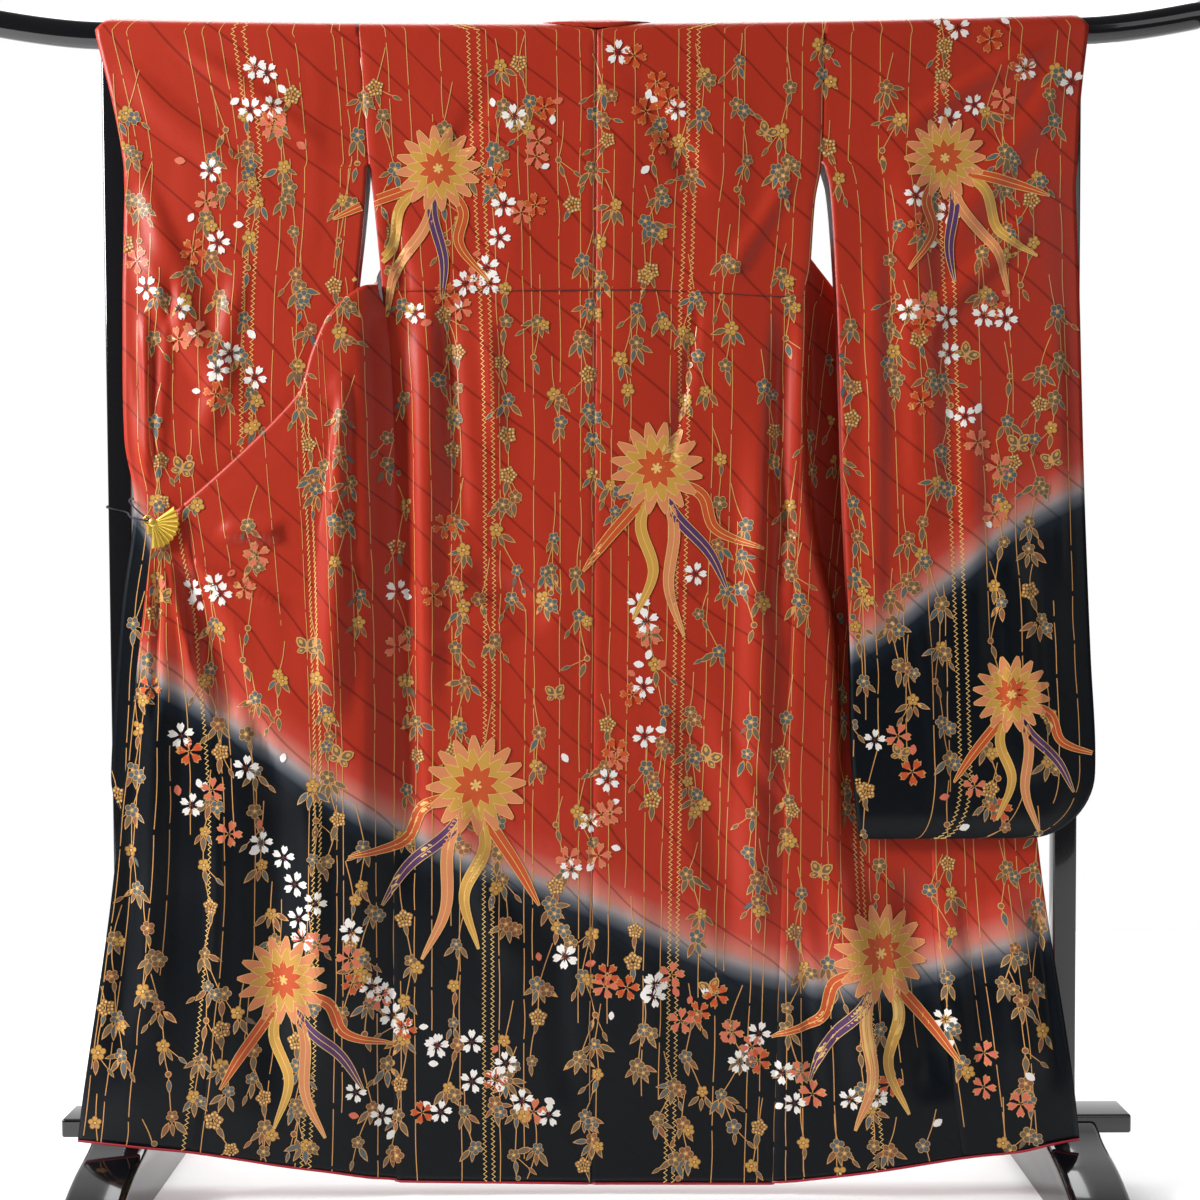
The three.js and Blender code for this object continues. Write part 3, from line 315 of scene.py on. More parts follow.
def rear_thread(side, s):
    start = over_rod(lerp(side * shoulder_out(side), NECK["centre"] + side * NECK["half"], s), 0)
    end = fold_point(side, s) + Vector((0, FOLD_HALF, 0))
    armhole = Vector((side * (track(SIDE_EDGE[side], "z", "out", ARMHOLE) - SEAM), 16, ARMHOLE))
    way = GATE[side]
    gate_z = lerp(way["high"], way["low"], s)
    gate = Vector((side * way["out"], way["y"], gate_z))
    near_gate = Vector((side * way["before"], way["before_y"], gate_z + GATE_LIFT))
    half_way = start.lerp(gate, 0.5)
    half_way.y = 19
    middle = armhole.lerp(half_way, smooth(s * 1.3))
    past = gate.lerp(end, 0.4)
    if side < 0:
        past = past.lerp(Vector((side * PAST_GATE["out"], PAST_GATE["y"], gate_z - 6)), smooth(s * 7))
    return [start, middle, near_gate, gate, past, end]


threads = {}


def rear_point(side, s, u):
    if (side, s) not in threads:
        threads[side, s] = rear_thread(side, s)
    p = smooth_path(threads[side, s], clamp(u))
    to_gate = smooth((GATE[side]["before"] - abs(p.x)) / 20)
    free = smooth(u * 6) * smooth((1 - u) * 5) * bell(2 * s - 1) * to_gate
    p.y -= (crease_depth(REAR_CREASES, side, abs(p.x), p.z) - 0.8 * ripple(p.x, p.z, 3)) * free
    return p


def inner_edge(side, u, across, width):
    """The okumi and the collar follow the front's inner edge."""
    inward = lerp(1, 0, smooth(u * 1.4))
    down = Vector((-side * inward, 0, -lerp(0.25, 1, smooth(u * 1.5)))).normalized()
    okumi = OKUMI_AT_GATE * smooth((u - 0.3) / 0.4)
    fold_end = fold_point(side, 2) - fold_point(side, 1)
    lower = (down * max(okumi, 1)).lerp(fold_end, clamp((u - 0.7) / 0.3) ** 2.5)
    return rear_point(side, 1.0, u) + lower * across + down * width


def fold_tip(side, s, turn):
    """The round of the turned fold; turn runs from the rear layer (0) to the front one (pi)."""
    a, b = fold_point(side, max(0, s - 0.05)), fold_point(side, min(2, s + 0.05))
    dx, dz = abs(b.x - a.x), abs(b.z - a.z)
    reach = FOLD_HALF * math.sin(turn) / math.hypot(dx, dz)
    return fold_point(side, s) + Vector((side * reach * dz, FOLD_HALF * math.cos(turn), reach * dx))


def wing_point(side, s, t):
    hem, edge, fold = FRONT_HEM[side], SIDE_EDGE[side], fold_point(side, s)
    z = lerp(track(hem, "s", "z", s), fold.z, t)
    seam_out = track(edge, "z", "out", min(z, TUCK)) - 4
    seam_y = track(edge, "z", "y", z) + 2.8 * (1 - smooth(s * 12))
    rise = t ** lerp(4, 1.6, min(s, 1))
    follow = rise if s <= 1 else lerp(rise, t, s - 1)
    belly = WING_BELLY[side] * math.sin(math.pi * t) * bell(s - 1)
    free = lerp(track(hem, "s", "out", s), abs(fold.x), follow) + belly
    out = lerp(seam_out, free, smooth(s * 7 + smooth((t - 0.97) / 0.03)))
    y = fold.y - FOLD_HALF
    if side > 0:
        step = [track(RIGHT_STEP, "z", c, z) for c in ("out", "step", "near", "deep")]
        y = lerp(step[2], step[3], smooth((out - step[0] + 4) / step[1]))
    y = lerp(track(hem, "s", "y", s), y, smooth(t * 2.4))
    y = lerp(seam_y, y, smooth((out - seam_out) / WING_ROOT[side]))
    free = smooth(t * 14) * smooth((1 - t) * 9)
    y += crease_depth(WING_CREASES, side, out, z) * free
    y += (0.9 if side < 0 else 0.6) * ripple(side * out, z, 5) * free * smooth(s * 5)
    if side < 0 and z > 470:  # it stays in front of the sleeve, and higher up of the turned collar
        cap = lerp(seam_y, lerp(-34, -47, smooth((z - 820) / 60)), smooth((out - seam_out) / WING_ROOT[side]))
        y = min(y, cap - 1.5 + 1.5 * math.tanh((y - cap + 1.5) / 3))
    y = lerp(y, fold.y - FOLD_HALF, smooth((t - 0.94) / 0.06))
    return Vector((side * out, y, z))


BODY_S = [0, 0.006, 0.016] + spread(0.04, 0.96, 38) + [0.984, 0.994, 1]
OKUMI_S = spread(1, 2, 18)
TUCK_T = (TUCK - 22) / 1545
BACK_T = sorted(spread(0, 1, 180) + [TUCK_T + 0.001 * k for k in range(-11, 7)])
ROD_ARCS = spread(math.pi * LAY, 0, 20)[1:-1]
REAR_U = spread(0, 1, 80)
WING_T = spread(1, 0, 170)
OKUMI_POINT_U = 0.3


def body_rows(side):
    rows = [[back_point(side, s, t) for s in BODY_S] for t in BACK_T]
    for arc in ROD_ARCS:
        neck = neck_half(arc) if arc < LAY * NECK["arc"] else 0
        inner = NECK["centre"] + side * (neck + 0.3) if neck else centre_x(ROD["centre"]) + side * SEAM
        rows.append([over_rod(lerp(side * shoulder_out(side), inner, s), arc) for s in BODY_S])
    rows += [[rear_point(side, s, u) for s in BODY_S] for u in REAR_U]
    rows += [[fold_tip(side, s, math.pi * k / 6) for s in BODY_S] for k in range(1, 6)]
    return rows + [[wing_point(side, s, t) for s in BODY_S] for t in WING_T]


def okumi_rows(side):
    rear = [u for u in REAR_U if u >= OKUMI_POINT_U]
    rows = [[inner_edge(side, u, s - 1, 0) for s in OKUMI_S] for u in rear]
    rows += [[fold_tip(side, s, math.pi * k / 6) for s in OKUMI_S] for k in range(1, 6)]
    return rows + [[wing_point(side, s, t) for s in OKUMI_S] for t in WING_T]


# ---- Sleeves: a bag open at the wrist and along its inner side ----
SLEEVE_C = spread(0, 1, 54)


def sleeve_rows(side):
    rows = SLEEVE_SECTIONS[side]
    at = lambda column, z: track(rows, "z", column, z)
    corner = [SLEEVE_BOTTOM + SLEEVE_CORNER * (k / 14) ** 1.6 for k in range(15)]
    levels = corner + spread(578, 1360, 110) + spread(1366, 1560, 28)

    def outer_limit(z):
        drop = clamp(1 - (z - SLEEVE_BOTTOM) / SLEEVE_CORNER)
        return at("outer", z) - SLEEVE_CORNER * (1 - math.sqrt(1 - drop * drop))

    def hang(c, z, top):
        """How freely the cloth hangs: 0 at its edges and 1 between them."""
        return smooth(c * 6) * smooth((1 - c) * 6) * smooth((z - SLEEVE_BOTTOM) / 90) * smooth((top - z) / 60)

    def pinch(y, c, z):
        middle = (at("front", z) + at("rear", z)) / 2
        edge = smooth((c - 0.84) / 0.16) * smooth((CUFF + 20 - z) / 30)
        closing = max(edge, smooth(1 - (z - SLEEVE_BOTTOM) / 34))
        return lerp(y, middle + math.copysign(0.8, y - middle), closing)

    def front(c, z):
        edge = SIDE_EDGE[side]
        sewn = z > ARMHOLE
        inner = track(edge, "z", "out", z) - 3 if sewn else at("inner", z)
        out = lerp(inner, outer_limit(z), c)
        y = lerp(track(edge, "z", "y", z) + 1.4, at("front", z), smooth(c * 3)) if sewn else at("front", z)
        fold = crease_depth(SLEEVE_CREASES, side, out, z) + 0.9 * ripple(out, z, 20 + side)
        hidden = smooth((1010 - z) / 80) if side < 0 else 0
        y = pinch(y, c, z) + (min(fold, 0) - 0.4 * max(fold, 0)) * hang(c, z, SHOULDER) * (1 - 0.8 * hidden)
        y = max(y, -34.0)
        if sewn:
            y += 1.2 * (1 - smooth((out - inner) / 5)) * (1 if z < 1550 else 0)
        return Vector((side * out, y, z))

    def rear(c, z):
        inner = at("inner", z) + (0.5 if z > ARMHOLE else 0)
        outer = lerp(outer_limit(z), CUFF_INSET, smooth((z - CUFF) / 24))
        y = lerp(at("inner_rear", z), at("rear", z), smooth(c * 1.4))
        out = lerp(inner, outer, c)
        y = pinch(y, c, z) + abs(0.9 * ripple(out, z, 30 + side)) * hang(c, z, 1560)
        return Vector((side * out, y, z))

    shoulder, rod_outer = shoulder_out(side) + 2 * SEAM, at("outer", SHOULDER)
    arcs = spread(math.pi * LAY, 0, 20)
    loop = [[front(c, z) for c in SLEEVE_C] for z in levels]
    for i, arc in enumerate(arcs):
        outer = lerp(rod_outer, CUFF_INSET, i / 20)
        loop.append([over_rod(side * lerp(shoulder, outer, c), arc) for c in SLEEVE_C])
    return loop + [[rear(c, z) for c in SLEEVE_C] for z in reversed(levels)]


# ---- The collar ----
COLLAR_WIDTH = 55


def collar_rows():
    widths = spread(0.6, COLLAR_WIDTH, 9)
    us = spread(0, 1, 70)
    fronts = lambda side, list_: [[inner_edge(side, u, 1, w) for w in widths] for u in list_]
    reach = NECK["arc"] * LAY
    left = []
    for arc in spread(0, reach, 26)[1:]:
        half = neck_half(arc)
        dx, da = -half / NECK["half"], -math.hypot(1 - half / NECK["half"], 0.25) - arc / reach
        length, swell = math.hypot(dx, da), 2.6 * smooth(1.4 - half / NECK["half"])
        left.append(
            [
                over_rod(
                    NECK["centre"] - half - dx / length * w, arc + da / length * w,
                    0.9 + swell * smooth(w / 12),
                )
                for w in widths
            ]
        )
    right = [[Vector((2 * NECK["centre"] - p.x, p.y, p.z)) for p in row] for row in reversed(left[:-1])]
    return fronts(-1, us[::-1]) + left + right + fronts(1, us)


# ---- Materials ----
def new_material(name, colour, roughness, **sockets):
    material = bpy.data.materials.new(name)
    material.use_nodes = True
    shader = material.node_tree.nodes["Principled BSDF"]
    shader.inputs["Base Color"].default_value = (*colour, 1)
    shader.inputs["Roughness"].default_value = roughness
    for socket, value in sockets.items():
        shader.inputs[socket.replace("_", " ")].default_value = value
    return material, material.node_tree, shader


def add_node(tree, kind, **values):
    node = tree.nodes.new("ShaderNode" + kind)
    for key, value in values.items():
        if key in node.inputs:
            node.inputs[key].default_value = value
        else:
            setattr(node, key, value)
    return node


def cloth_coords(tree, scale):
    uv = add_node(tree, "UVMap", uv_map="cloth")
    mapping = add_node(tree, "Mapping", Scale=scale)
    tree.links.new(uv.outputs["UV"], mapping.inputs["Vector"])
    return mapping.outputs["Vector"]


def ramp(tree, value, stops):
    node = add_node(tree, "ValToRGB")
    elements = node.color_ramp.elements
    while len(elements) < len(stops):
        elements.new(0.5)
    for element, (position, colour) in zip(elements, stops):
        element.position, element.color = position, (*colour, 1)
    tree.links.new(value, node.inputs["Fac"])
    return node.outputs["Color"]


def by_place(tree, kind, **values):
    """A node that works from the place on the object."""
    place, node = add_node(tree, "TexCoord"), add_node(tree, kind, **values)
    tree.links.new(place.outputs["Object"], node.inputs["Vector"])
    return node


def add_bump(tree, shader, texture, strength, distance):
    bump = add_node(tree, "Bump", Strength=strength, Distance=distance)
    tree.links.new(texture.outputs["Fac"], bump.inputs["Height"])
    tree.links.new(bump.outputs["Normal"], shader.inputs["Normal"])


def weave_bump(tree, shader, strength):
    """Fine satin weave, with slubs along the threads."""
    slub = add_node(tree, "TexNoise", Scale=1.0, Detail=3.0)
    tree.links.new(cloth_coords(tree, (900, 90, 1)), slub.inputs["Vector"])
    add_bump(tree, shader, slub, strength, 0.0004)


RED, NAVY = (0.46, 0.034, 0.015), (0.0012, 0.0030, 0.0055)
PALE, LINING_SCARLET = (0.62, 0.60, 0.60), (0.42, 0.018, 0.030)


def dyed_silk():
    """Red silk shaded to navy through a pale band; the attribute dye is the height above the band's foot."""
    material, tree, shader = new_material("dyed_silk", RED, 0.36, Specular_IOR_Level=0.24)
    dye = add_node(tree, "Attribute", attribute_name="dye")
    stops = [
        (0.0, NAVY), (0.16, (0.008, 0.014, 0.022)), (0.26, (0.13, 0.14, 0.16)), (0.33, (0.36, 0.29, 0.28)),
        (0.42, (0.60, 0.20, 0.15)), (0.60, (0.53, 0.055, 0.035)), (0.80, RED), (1.0, RED),
    ]
    colour = ramp(tree, dye.outputs["Fac"], stops)
    # The ground carries fine woven curved lines, a little darker than the silk.
    turned = by_place(tree, "Mapping", Rotation=(0, math.radians(-44), 0))
    lines = add_node(
        tree, "TexWave", Scale=6.2, Distortion=5.0, Detail=1.0, wave_type="BANDS", bands_direction="Z",
    )
    lines.inputs["Detail Scale"].default_value = 0.6
    tree.links.new(turned.outputs["Vector"], lines.inputs["Vector"])
    thin = ramp(
        tree, lines.outputs["Color"], [(0.0, (1, 1, 1)), (0.984, (1, 1, 1)), (1.0, (0.56, 0.56, 0.56))],
    )
    mixed = add_node(tree, "Mix", data_type="RGBA", blend_type="MULTIPLY")
    mixed.inputs["Factor"].default_value = 1.0
    tree.links.new(colour, mixed.inputs["A"])
    tree.links.new(thin, mixed.inputs["B"])
    tree.links.new(mixed.outputs["Result"], shader.inputs["Base Color"])
    weave_bump(tree, shader, 0.25)
    return material


def lining_silk():
    """Greyish white silk above, scarlet below the knee."""
    material, tree, shader = new_material("lining_silk", PALE, 0.5, Sheen_Weight=0.1)
    split = by_place(tree, "SeparateXYZ")
    stops = [(0.0, LINING_SCARLET), (0.50, LINING_SCARLET), (0.505, PALE), (1.0, PALE)]
    tree.links.new(ramp(tree, split.outputs["Z"], stops), shader.inputs["Base Color"])
    weave_bump(tree, shader, 0.2)
    return material


def sleeve_facing():
    """The sleeve is lined in grey near its seam, and faced in its own silk lower down."""
    material, tree, shader = new_material("sleeve_facing", RED, 0.5, Specular_IOR_Level=0.35)
    split = by_place(tree, "SeparateXYZ")
    part = add_node(tree, "MapRange")
    part.inputs["From Max"].default_value = 1.6
    tree.links.new(split.outputs["Z"], part.inputs["Value"])
    stops = [(0.0, NAVY), (0.46, NAVY), (0.52, RED), (0.79, RED), (0.82, (0.5, 0.48, 0.48)), (1.0, PALE)]
    tree.links.new(ramp(tree, part.outputs["Result"], stops), shader.inputs["Base Color"])
    weave_bump(tree, shader, 0.2)
    return material


def scarlet_edge():
    material, tree, shader = new_material("scarlet_edge", (0.42, 0.016, 0.030), 0.45, Sheen_Weight=0.15)
    add_bump(tree, shader, by_place(tree, "TexNoise", Scale=700.0, Detail=2.0), 0.3, 0.0003)
    return material


def black_lacquer():
    material, tree, shader = new_material(
        "black_lacquer", (0.004, 0.004, 0.0055), 0.09, Coat_Weight=0.6, Coat_Roughness=0.03,
    )
    haze = by_place(tree, "TexNoise", Scale=9.0, Detail=4.0)
    spread_out = add_node(tree, "MapRange")
    spread_out.inputs["To Min"].default_value, spread_out.inputs["To Max"].default_value = 0.06, 0.16
    tree.links.new(haze.outputs["Fac"], spread_out.inputs["Value"])
    tree.links.new(spread_out.outputs["Result"], shader.inputs["Roughness"])
    return material


def polished_gold():
    material, tree, shader = new_material("polished_gold", (0.93, 0.66, 0.11), 0.3, Metallic=0.7)
    add_bump(tree, shader, by_place(tree, "TexNoise", Scale=260.0, Detail=3.0), 0.15, 0.0004)
    return material


def plum_cord():
    material, tree, shader = new_material("plum_cord", (0.020, 0.010, 0.024), 0.75)
    add_bump(tree, shader, by_place(tree, "TexWave", Scale=420.0, bands_direction="DIAGONAL"), 0.6, 0.0003)
    return material


SILK, LINING, FACING, SCARLET = dyed_silk(), lining_silk(), sleeve_facing(), scarlet_edge()
LACQUER, GOLD, CORD = black_lacquer(), polished_gold(), plum_cord()


# ---- Finishing a piece ----
def finish_piece(obj, slot, materials, *nodes):
    bpy.context.scene.collection.objects.link(obj)
    for material in materials:
        obj.data.materials.append(material)
    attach(obj, "root")
    if nodes:
        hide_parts(*nodes)
    return obj


def from_bmesh(name, bm, slot, materials, *nodes, flat=False):
    mesh = bpy.data.meshes.new(name)
    bm.to_mesh(mesh)
    bm.free()
    if not flat:
        mesh.polygons.foreach_set("use_smooth", [True] * len(mesh.polygons))
    return finish_piece(bpy.data.objects.new(name, mesh), slot, materials, *nodes)


def sheet_mesh(name, rows):
    """A grid moved onto rows of points (mm); its faces point to the viewer on the first rows."""
    points = np.array([[tuple(p) for p in row] for row in rows])
    count, across = points.shape[:2]
    bm = bmesh.new()
    bmesh.ops.create_grid(bm, x_segments=across - 1, y_segments=count - 1, size=0.5)
    for v in bm.verts:
        c, r = round((v.co.x + 0.5) * (across - 1)), round((v.co.y + 0.5) * (count - 1))
        v.co = points[r, c] * MM
        v.index = r * across + c
    bm.verts.sort()
    mesh = bpy.data.meshes.new(name)
    bm.to_mesh(mesh)
    bm.free()
    return mesh, points


def flat_lengths(points):
    """Distances along the cloth, across its columns and down its rows."""
    steps_c = np.linalg.norm(np.diff(points, axis=1), axis=2).mean(axis=0)
    steps_r = np.linalg.norm(np.diff(points, axis=0), axis=2).mean(axis=1)
    return np.concatenate([[0], np.cumsum(steps_c)]), np.concatenate([[0], np.cumsum(steps_r)])


DYE_BODY = table(
    "x z",
    (-700, 720), (-625, 700), (-411, 563), (-357, 523), (-263, 468), (-169, 427), (-48, 385), (33, 351),
    (141, 302), (250, 268), (345, 256), (413, 267), (467, 280), (528, 301), (575, 317), (613, 334),
    (700, 380),
)
DYE_SLEEVE = {
    1: table(
        "x z", (300, 690), (342, 708), (398, 742), (438, 775), (492, 815), (546, 862), (599, 895),
        (657, 922), (690, 935),
    ),
    -1: table(
        "x z", (-690, 930), (-640, 912), (-612, 896), (-590, 850), (-546, 810), (-492, 790), (-438, 775),
        (-342, 708), (-300, 690),
    ),
}
DYE_SPAN = 150.0  # the ramp covers this height


def dye_value(part, x, z):
    rows = DYE_SLEEVE[part] if part else DYE_BODY
    return clamp((z - track(rows, "x", "z", x) + 15) / DYE_SPAN)


def silk_sheet(
    name, rows, part, nodes, thickness=0.9, flip=False,
):
    """A length of lined silk: its outer face dyed, its inner face lining."""
    mesh, points = sheet_mesh(name, rows)
    a, b = flat_lengths(points)
    loops = np.zeros(len(mesh.loops), np.int32)
    mesh.loops.foreach_get("vertex_index", loops)
    across = points.shape[1]
    uv = np.stack([a[loops % across], b[loops // across]], axis=1) * MM
    mesh.uv_layers.new(name="cloth").data.foreach_set("uv", uv.ravel())
    dye = [dye_value(part, x, z) for x, _, z in points.reshape(-1, 3)]
    mesh.attributes.new("dye", "FLOAT", "POINT").data.foreach_set("value", dye)
    if flip:
        mesh.flip_normals()
    mesh.polygons.foreach_set("use_smooth", [True] * len(mesh.polygons))
    obj = finish_piece(
        bpy.data.objects.new(name, mesh), "red_silk", (SILK, FACING if part else LINING), *nodes
    )
    wall = obj.modifiers.new("wall", "SOLIDIFY")
    wall.thickness, wall.offset, wall.material_offset, wall.material_offset_rim = thickness * MM, 0, 1, 0
    return points


grids = {}
for side, word in ((-1, "left"), (1, "right")):
    flip = side > 0
    grids["body", side] = silk_sheet(
        f"body_{word}_cloth", body_rows(side), 0, [f"body_{word}"], flip=flip
    )
    grids["okumi", side] = silk_sheet(
        f"okumi_{word}_cloth", okumi_rows(side), 0, [f"okumi_{word}"],
        flip=flip
    )
    grids["sleeve", side] = silk_sheet(
        f"sleeve_{word}_cloth", sleeve_rows(side), side, [f"sleeve_{word}"], flip=not flip
    )
grids["collar"] = silk_sheet(
    "collar_cloth", collar_rows(), 0, ["collar"], thickness=2.4, flip=True,
)


def tube(name, points, radius, slot, materials, *nodes, closed=False, sides=3, ends=None):
    curve = bpy.data.curves.new(name, "CURVE")
    curve.dimensions, curve.use_fill_caps = "3D", True
    curve.bevel_depth, curve.bevel_resolution = radius * MM, sides
    spline = curve.splines.new("POLY")
    spline.points.add(len(points) - 1)
    for i, (point, p) in enumerate(zip(spline.points, points)):
        point.co = (*(Vector(p) * MM), 1)
        point.radius = ends[i] if ends else 1
    spline.use_cyclic_u, spline.use_smooth = closed, True
    holder = bpy.data.objects.new(name, curve)
    mesh = bpy.data.meshes.new_from_object(holder)
    mesh.name = name
    bpy.data.objects.remove(holder)
    mesh.materials.clear()
    mesh.polygons.foreach_set("use_smooth", [True] * len(mesh.polygons))
    return finish_piece(bpy.data.objects.new(name, mesh), slot, materials, *nodes)


def hem_line():
    left = [wing_point(-1, s, 0) for s in spread(2, 0, 80)] + [back_point(-1, s, 0) for s in spread(0, 1, 40)]
    right = [back_point(1, s, 0) for s in spread(1, 0, 40)] + [wing_point(1, s, 0) for s in spread(0, 2, 80)]
    points = [p + Vector((0, 0.6, -1.6)) for p in left + right]
    return [p for i, p in enumerate(points) if not i or (p - points[i - 1]).length > 2]


tube("hem_lining_roll", hem_line(), 1.9, "scarlet_lining", (SCARLET,), "hem_lining_edge")


# ---- The stand ----
def box_piece(name, low, high, bevel, node):
    bm = bmesh.new()
    bmesh.ops.create_cube(bm, size=1.0)
    centre, size = (Vector(low) + Vector(high)) / 2, Vector(high) - Vector(low)
    bmesh.ops.scale(bm, vec=size * MM, verts=bm.verts)
    bmesh.ops.translate(bm, vec=centre * MM, verts=bm.verts)
    bmesh.ops.bevel(
        bm, geom=bm.edges[:], offset=bevel * MM, segments=4, profile=0.5, affect="EDGES", material=-1
    )
    return from_bmesh(name, bm, "black_lacquer", (LACQUER,), node)


ROUNDED_FROM = 812  # the rod's ends are rounded from here out
rod_tip = [ROUNDED_FROM, 818, 822, 824.2, ROD["half"]]
rod_xs = [-x for x in reversed(rod_tip)] + spread(-800, 800, 80) + rod_tip
rounding = [clamp((abs(x) - ROUNDED_FROM) / (ROD["half"] - ROUNDED_FROM)) for x in rod_xs]
rod_ends = [0.3 + 0.7 * math.sqrt(1 - r**2) for r in rounding]
tube(
    "rod_lacquered", [(x, 0, rod_height(x)) for x in rod_xs], 18.4, "black_lacquer", (LACQUER,), "rod",
    sides=12, ends=rod_ends
)
FOOT_TOP = table("y z", (0, 106), (30, 98), (60, 84), (122, 68), (167, 49), (200, 29), (222, 12))
for side, word in ((-1, "left"), (1, "right")):
    out = side * POST["out"]
    half, deep = POST["width"] / 2, POST["depth"] / 2
    box_piece(
        f"post_{word}_lacquered", (out - half, -deep, 106.5), (out + half, deep, rod_height(out) - 14), 3.2,
        f"post_{word}",
    )
    bm = bmesh.new()
    reach, cheek = FOOT["half"], out - FOOT["width"] / 2
    ys = spread(-reach, reach, 48)
    profile = [bm.verts.new((cheek, y, track(FOOT_TOP, "y", "z", abs(y)))) for y in ys]
    profile += [bm.verts.new((cheek, reach, 0)), bm.verts.new((cheek, -reach, 0))]
    face = bm.faces.new(profile)
    extruded = bmesh.ops.extrude_face_region(bm, geom=[face])
    moved = [g for g in extruded["geom"] if isinstance(g, bmesh.types.BMVert)]
    bmesh.ops.translate(bm, vec=(FOOT["width"], 0, 0), verts=moved)
    bmesh.ops.recalc_face_normals(bm, faces=bm.faces)
    top_edges = []  # along both upper sides, from toe to toe
    for edge in bm.edges:
        a, b = (v.co for v in edge.verts)
        if abs(a.x - b.x) < 1 and min(a.z, b.z) > 11:
            top_edges.append(edge)
    bmesh.ops.bevel(
        bm, geom=top_edges, offset=11, segments=6, profile=0.5, affect="EDGES", material=-1,
        clamp_overlap=True,
    )
    bmesh.ops.scale(bm, vec=(MM, MM, MM), verts=bm.verts)
    from_bmesh(f"foot_{word}_lacquered", bm, "black_lacquer", (LACQUER,), f"foot_{word}")
bar_low = (-BAR["half"], -BAR["depth"] / 2, BAR["top"] - BAR["height"])
bar_high = (BAR["half"], BAR["depth"] / 2, BAR["top"])
box_piece("crossbar_lacquered", bar_low, bar_high, 4, "crossbar")

# ---- The fan clip and its cord ----
FAN = dict(x=-583, z=914.5, y=-54.2, radius=34, first=-93, last=37, pleats=10)


def fan_piece():
    turns = spread(FAN["first"], FAN["last"], FAN["pleats"] * 6)
    radii = [4.5, 9, 14, 20, 26, 31, FAN["radius"]]
    rows = []
    for r in radii:
        row = []
        for i, degrees in enumerate(turns):
            a = math.radians(degrees)
            phase = (i % 6) / 6
            pleat = (abs(phase * 2 - 1) * 2 - 1) * 1.7 * r / FAN["radius"]
            rim = r + (0.8 * math.cos(phase * 2 * math.pi) if r == FAN["radius"] else 0)
            row.append(
                Vector((FAN["x"] + rim * math.cos(a), FAN["y"] - 0.6 + pleat, FAN["z"] + rim * math.sin(a)))
            )
        rows.append(row)
    mesh, _ = sheet_mesh("clip_fan_pleated", rows)
    obj = finish_piece(bpy.data.objects.new("clip_fan_pleated", mesh), "polished_gold", (GOLD,), "clip_fan")
    obj.data.polygons.foreach_set("use_smooth", [False] * len(obj.data.polygons))
    wall = obj.modifiers.new("wall", "SOLIDIFY")
    wall.thickness, wall.offset = 0.8 * MM, 0


def ring_path(centre, radius):
    turns = [2 * math.pi * k / 28 for k in range(28)]
    return [
        Vector((centre[0] + radius * math.cos(a), centre[1], centre[2] + radius * math.sin(a))) for a in turns
    ]


def dome(name, centre, radius, height, slot, material):
    bm = bmesh.new()
    bmesh.ops.create_uvsphere(bm, u_segments=24, v_segments=12, radius=1.0)
    bmesh.ops.scale(bm, vec=(radius * MM, height * MM, radius * MM), verts=bm.verts)
    bmesh.ops.translate(bm, vec=Vector(centre) * MM, verts=bm.verts)
    return from_bmesh(name, bm, slot, (material,))


fan_piece()
dome("clip_hub", (FAN["x"], -55.6, FAN["z"]), 5.6, 2.2, "polished_gold", GOLD)
tube(
    "clip_ring_wire", ring_path((-589, -53.4, 918), 5.6), 1.3, "polished_gold", (GOLD,), "clip_ring",
    closed=True,
)
jaw = [
    (-578, -50.2), (-590, -50.2), (-591.4, -49), (-592, -47.2), (-592, -34.5), (-591.4, -32.7),
    (-590, -31.5), (-566, -31.5),
]
jaw_rows = [[Vector((x, y, z)) for x, y in jaw] for z in (899, 903, 907, 911)]
jaw_mesh, _ = sheet_mesh("clip_jaw_plate", jaw_rows)
jaw_obj = finish_piece(bpy.data.objects.new("clip_jaw_plate", jaw_mesh), "polished_gold", (GOLD,), "clip_jaw")
jaw_wall = jaw_obj.modifiers.new("wall", "SOLIDIFY")
jaw_wall.thickness, jaw_wall.offset = 1.2 * MM, 0
CORD_ROUTE = [
    (600, -46, 926), (590, -49.5, 919.5), (588.6, -53.4, 918), (590, -57, 917), (600, -56, 919),
    (616, -40, 922), (624, -24, 926), (630, -13.2, 930), (650, -13.2, 935), (657.9, -9, 937),
    (657.9, 9, 941), (651, 13.2, 943), (630, 13.2, 947), (622.2, 8, 949), (622.2, -4, 949),
    (622.4, -18, 948), (621, -30, 944), (611, -40, 935),
]


def closed_path(points, cells):
    """Smooth closed route, a few steps between each two points."""
    out, count = [], len(points)
    for i in range(count):
        window = [Vector(points[(i + k) % count]) for k in (-1, 0, 1, 2)]
        out += [smooth_path(window, 1 / 3 + k / cells / 3) for k in range(cells)]
    return out


tube(
    "tie_cord_loop", closed_path([(-o, y, z) for o, y, z in CORD_ROUTE], 6), 1.1, "plum_cord", (CORD,),
    "tie_cord", closed=True,
)

# ---- Printed and embroidered pattern ----
# Marks are placed by x and height, and laid on the cloth just off its outer face.
outer_faces = []  # each cloth grid, and whether its faces are turned over
for side in (-1, 1):
    outer_faces += [
        (grids["body", side], side > 0), (grids["okumi", side], side > 0), (grids["sleeve", side], side < 0)
    ]


def face_tree():
    points, faces = [], []
    for grid, turned in outer_faces:
        rows, across = grid.shape[:2]
        start = len(points)
        points += [tuple(p) for p in grid.reshape(-1, 3)]
        for r in range(rows - 1):
            for c in range(across - 1):
                a = start + r * across + c
                quad = (a, a + 1, a + across + 1, a + across)
                faces.append(quad[::-1] if turned else quad)
    return BVHTree.FromPolygons(points, faces)


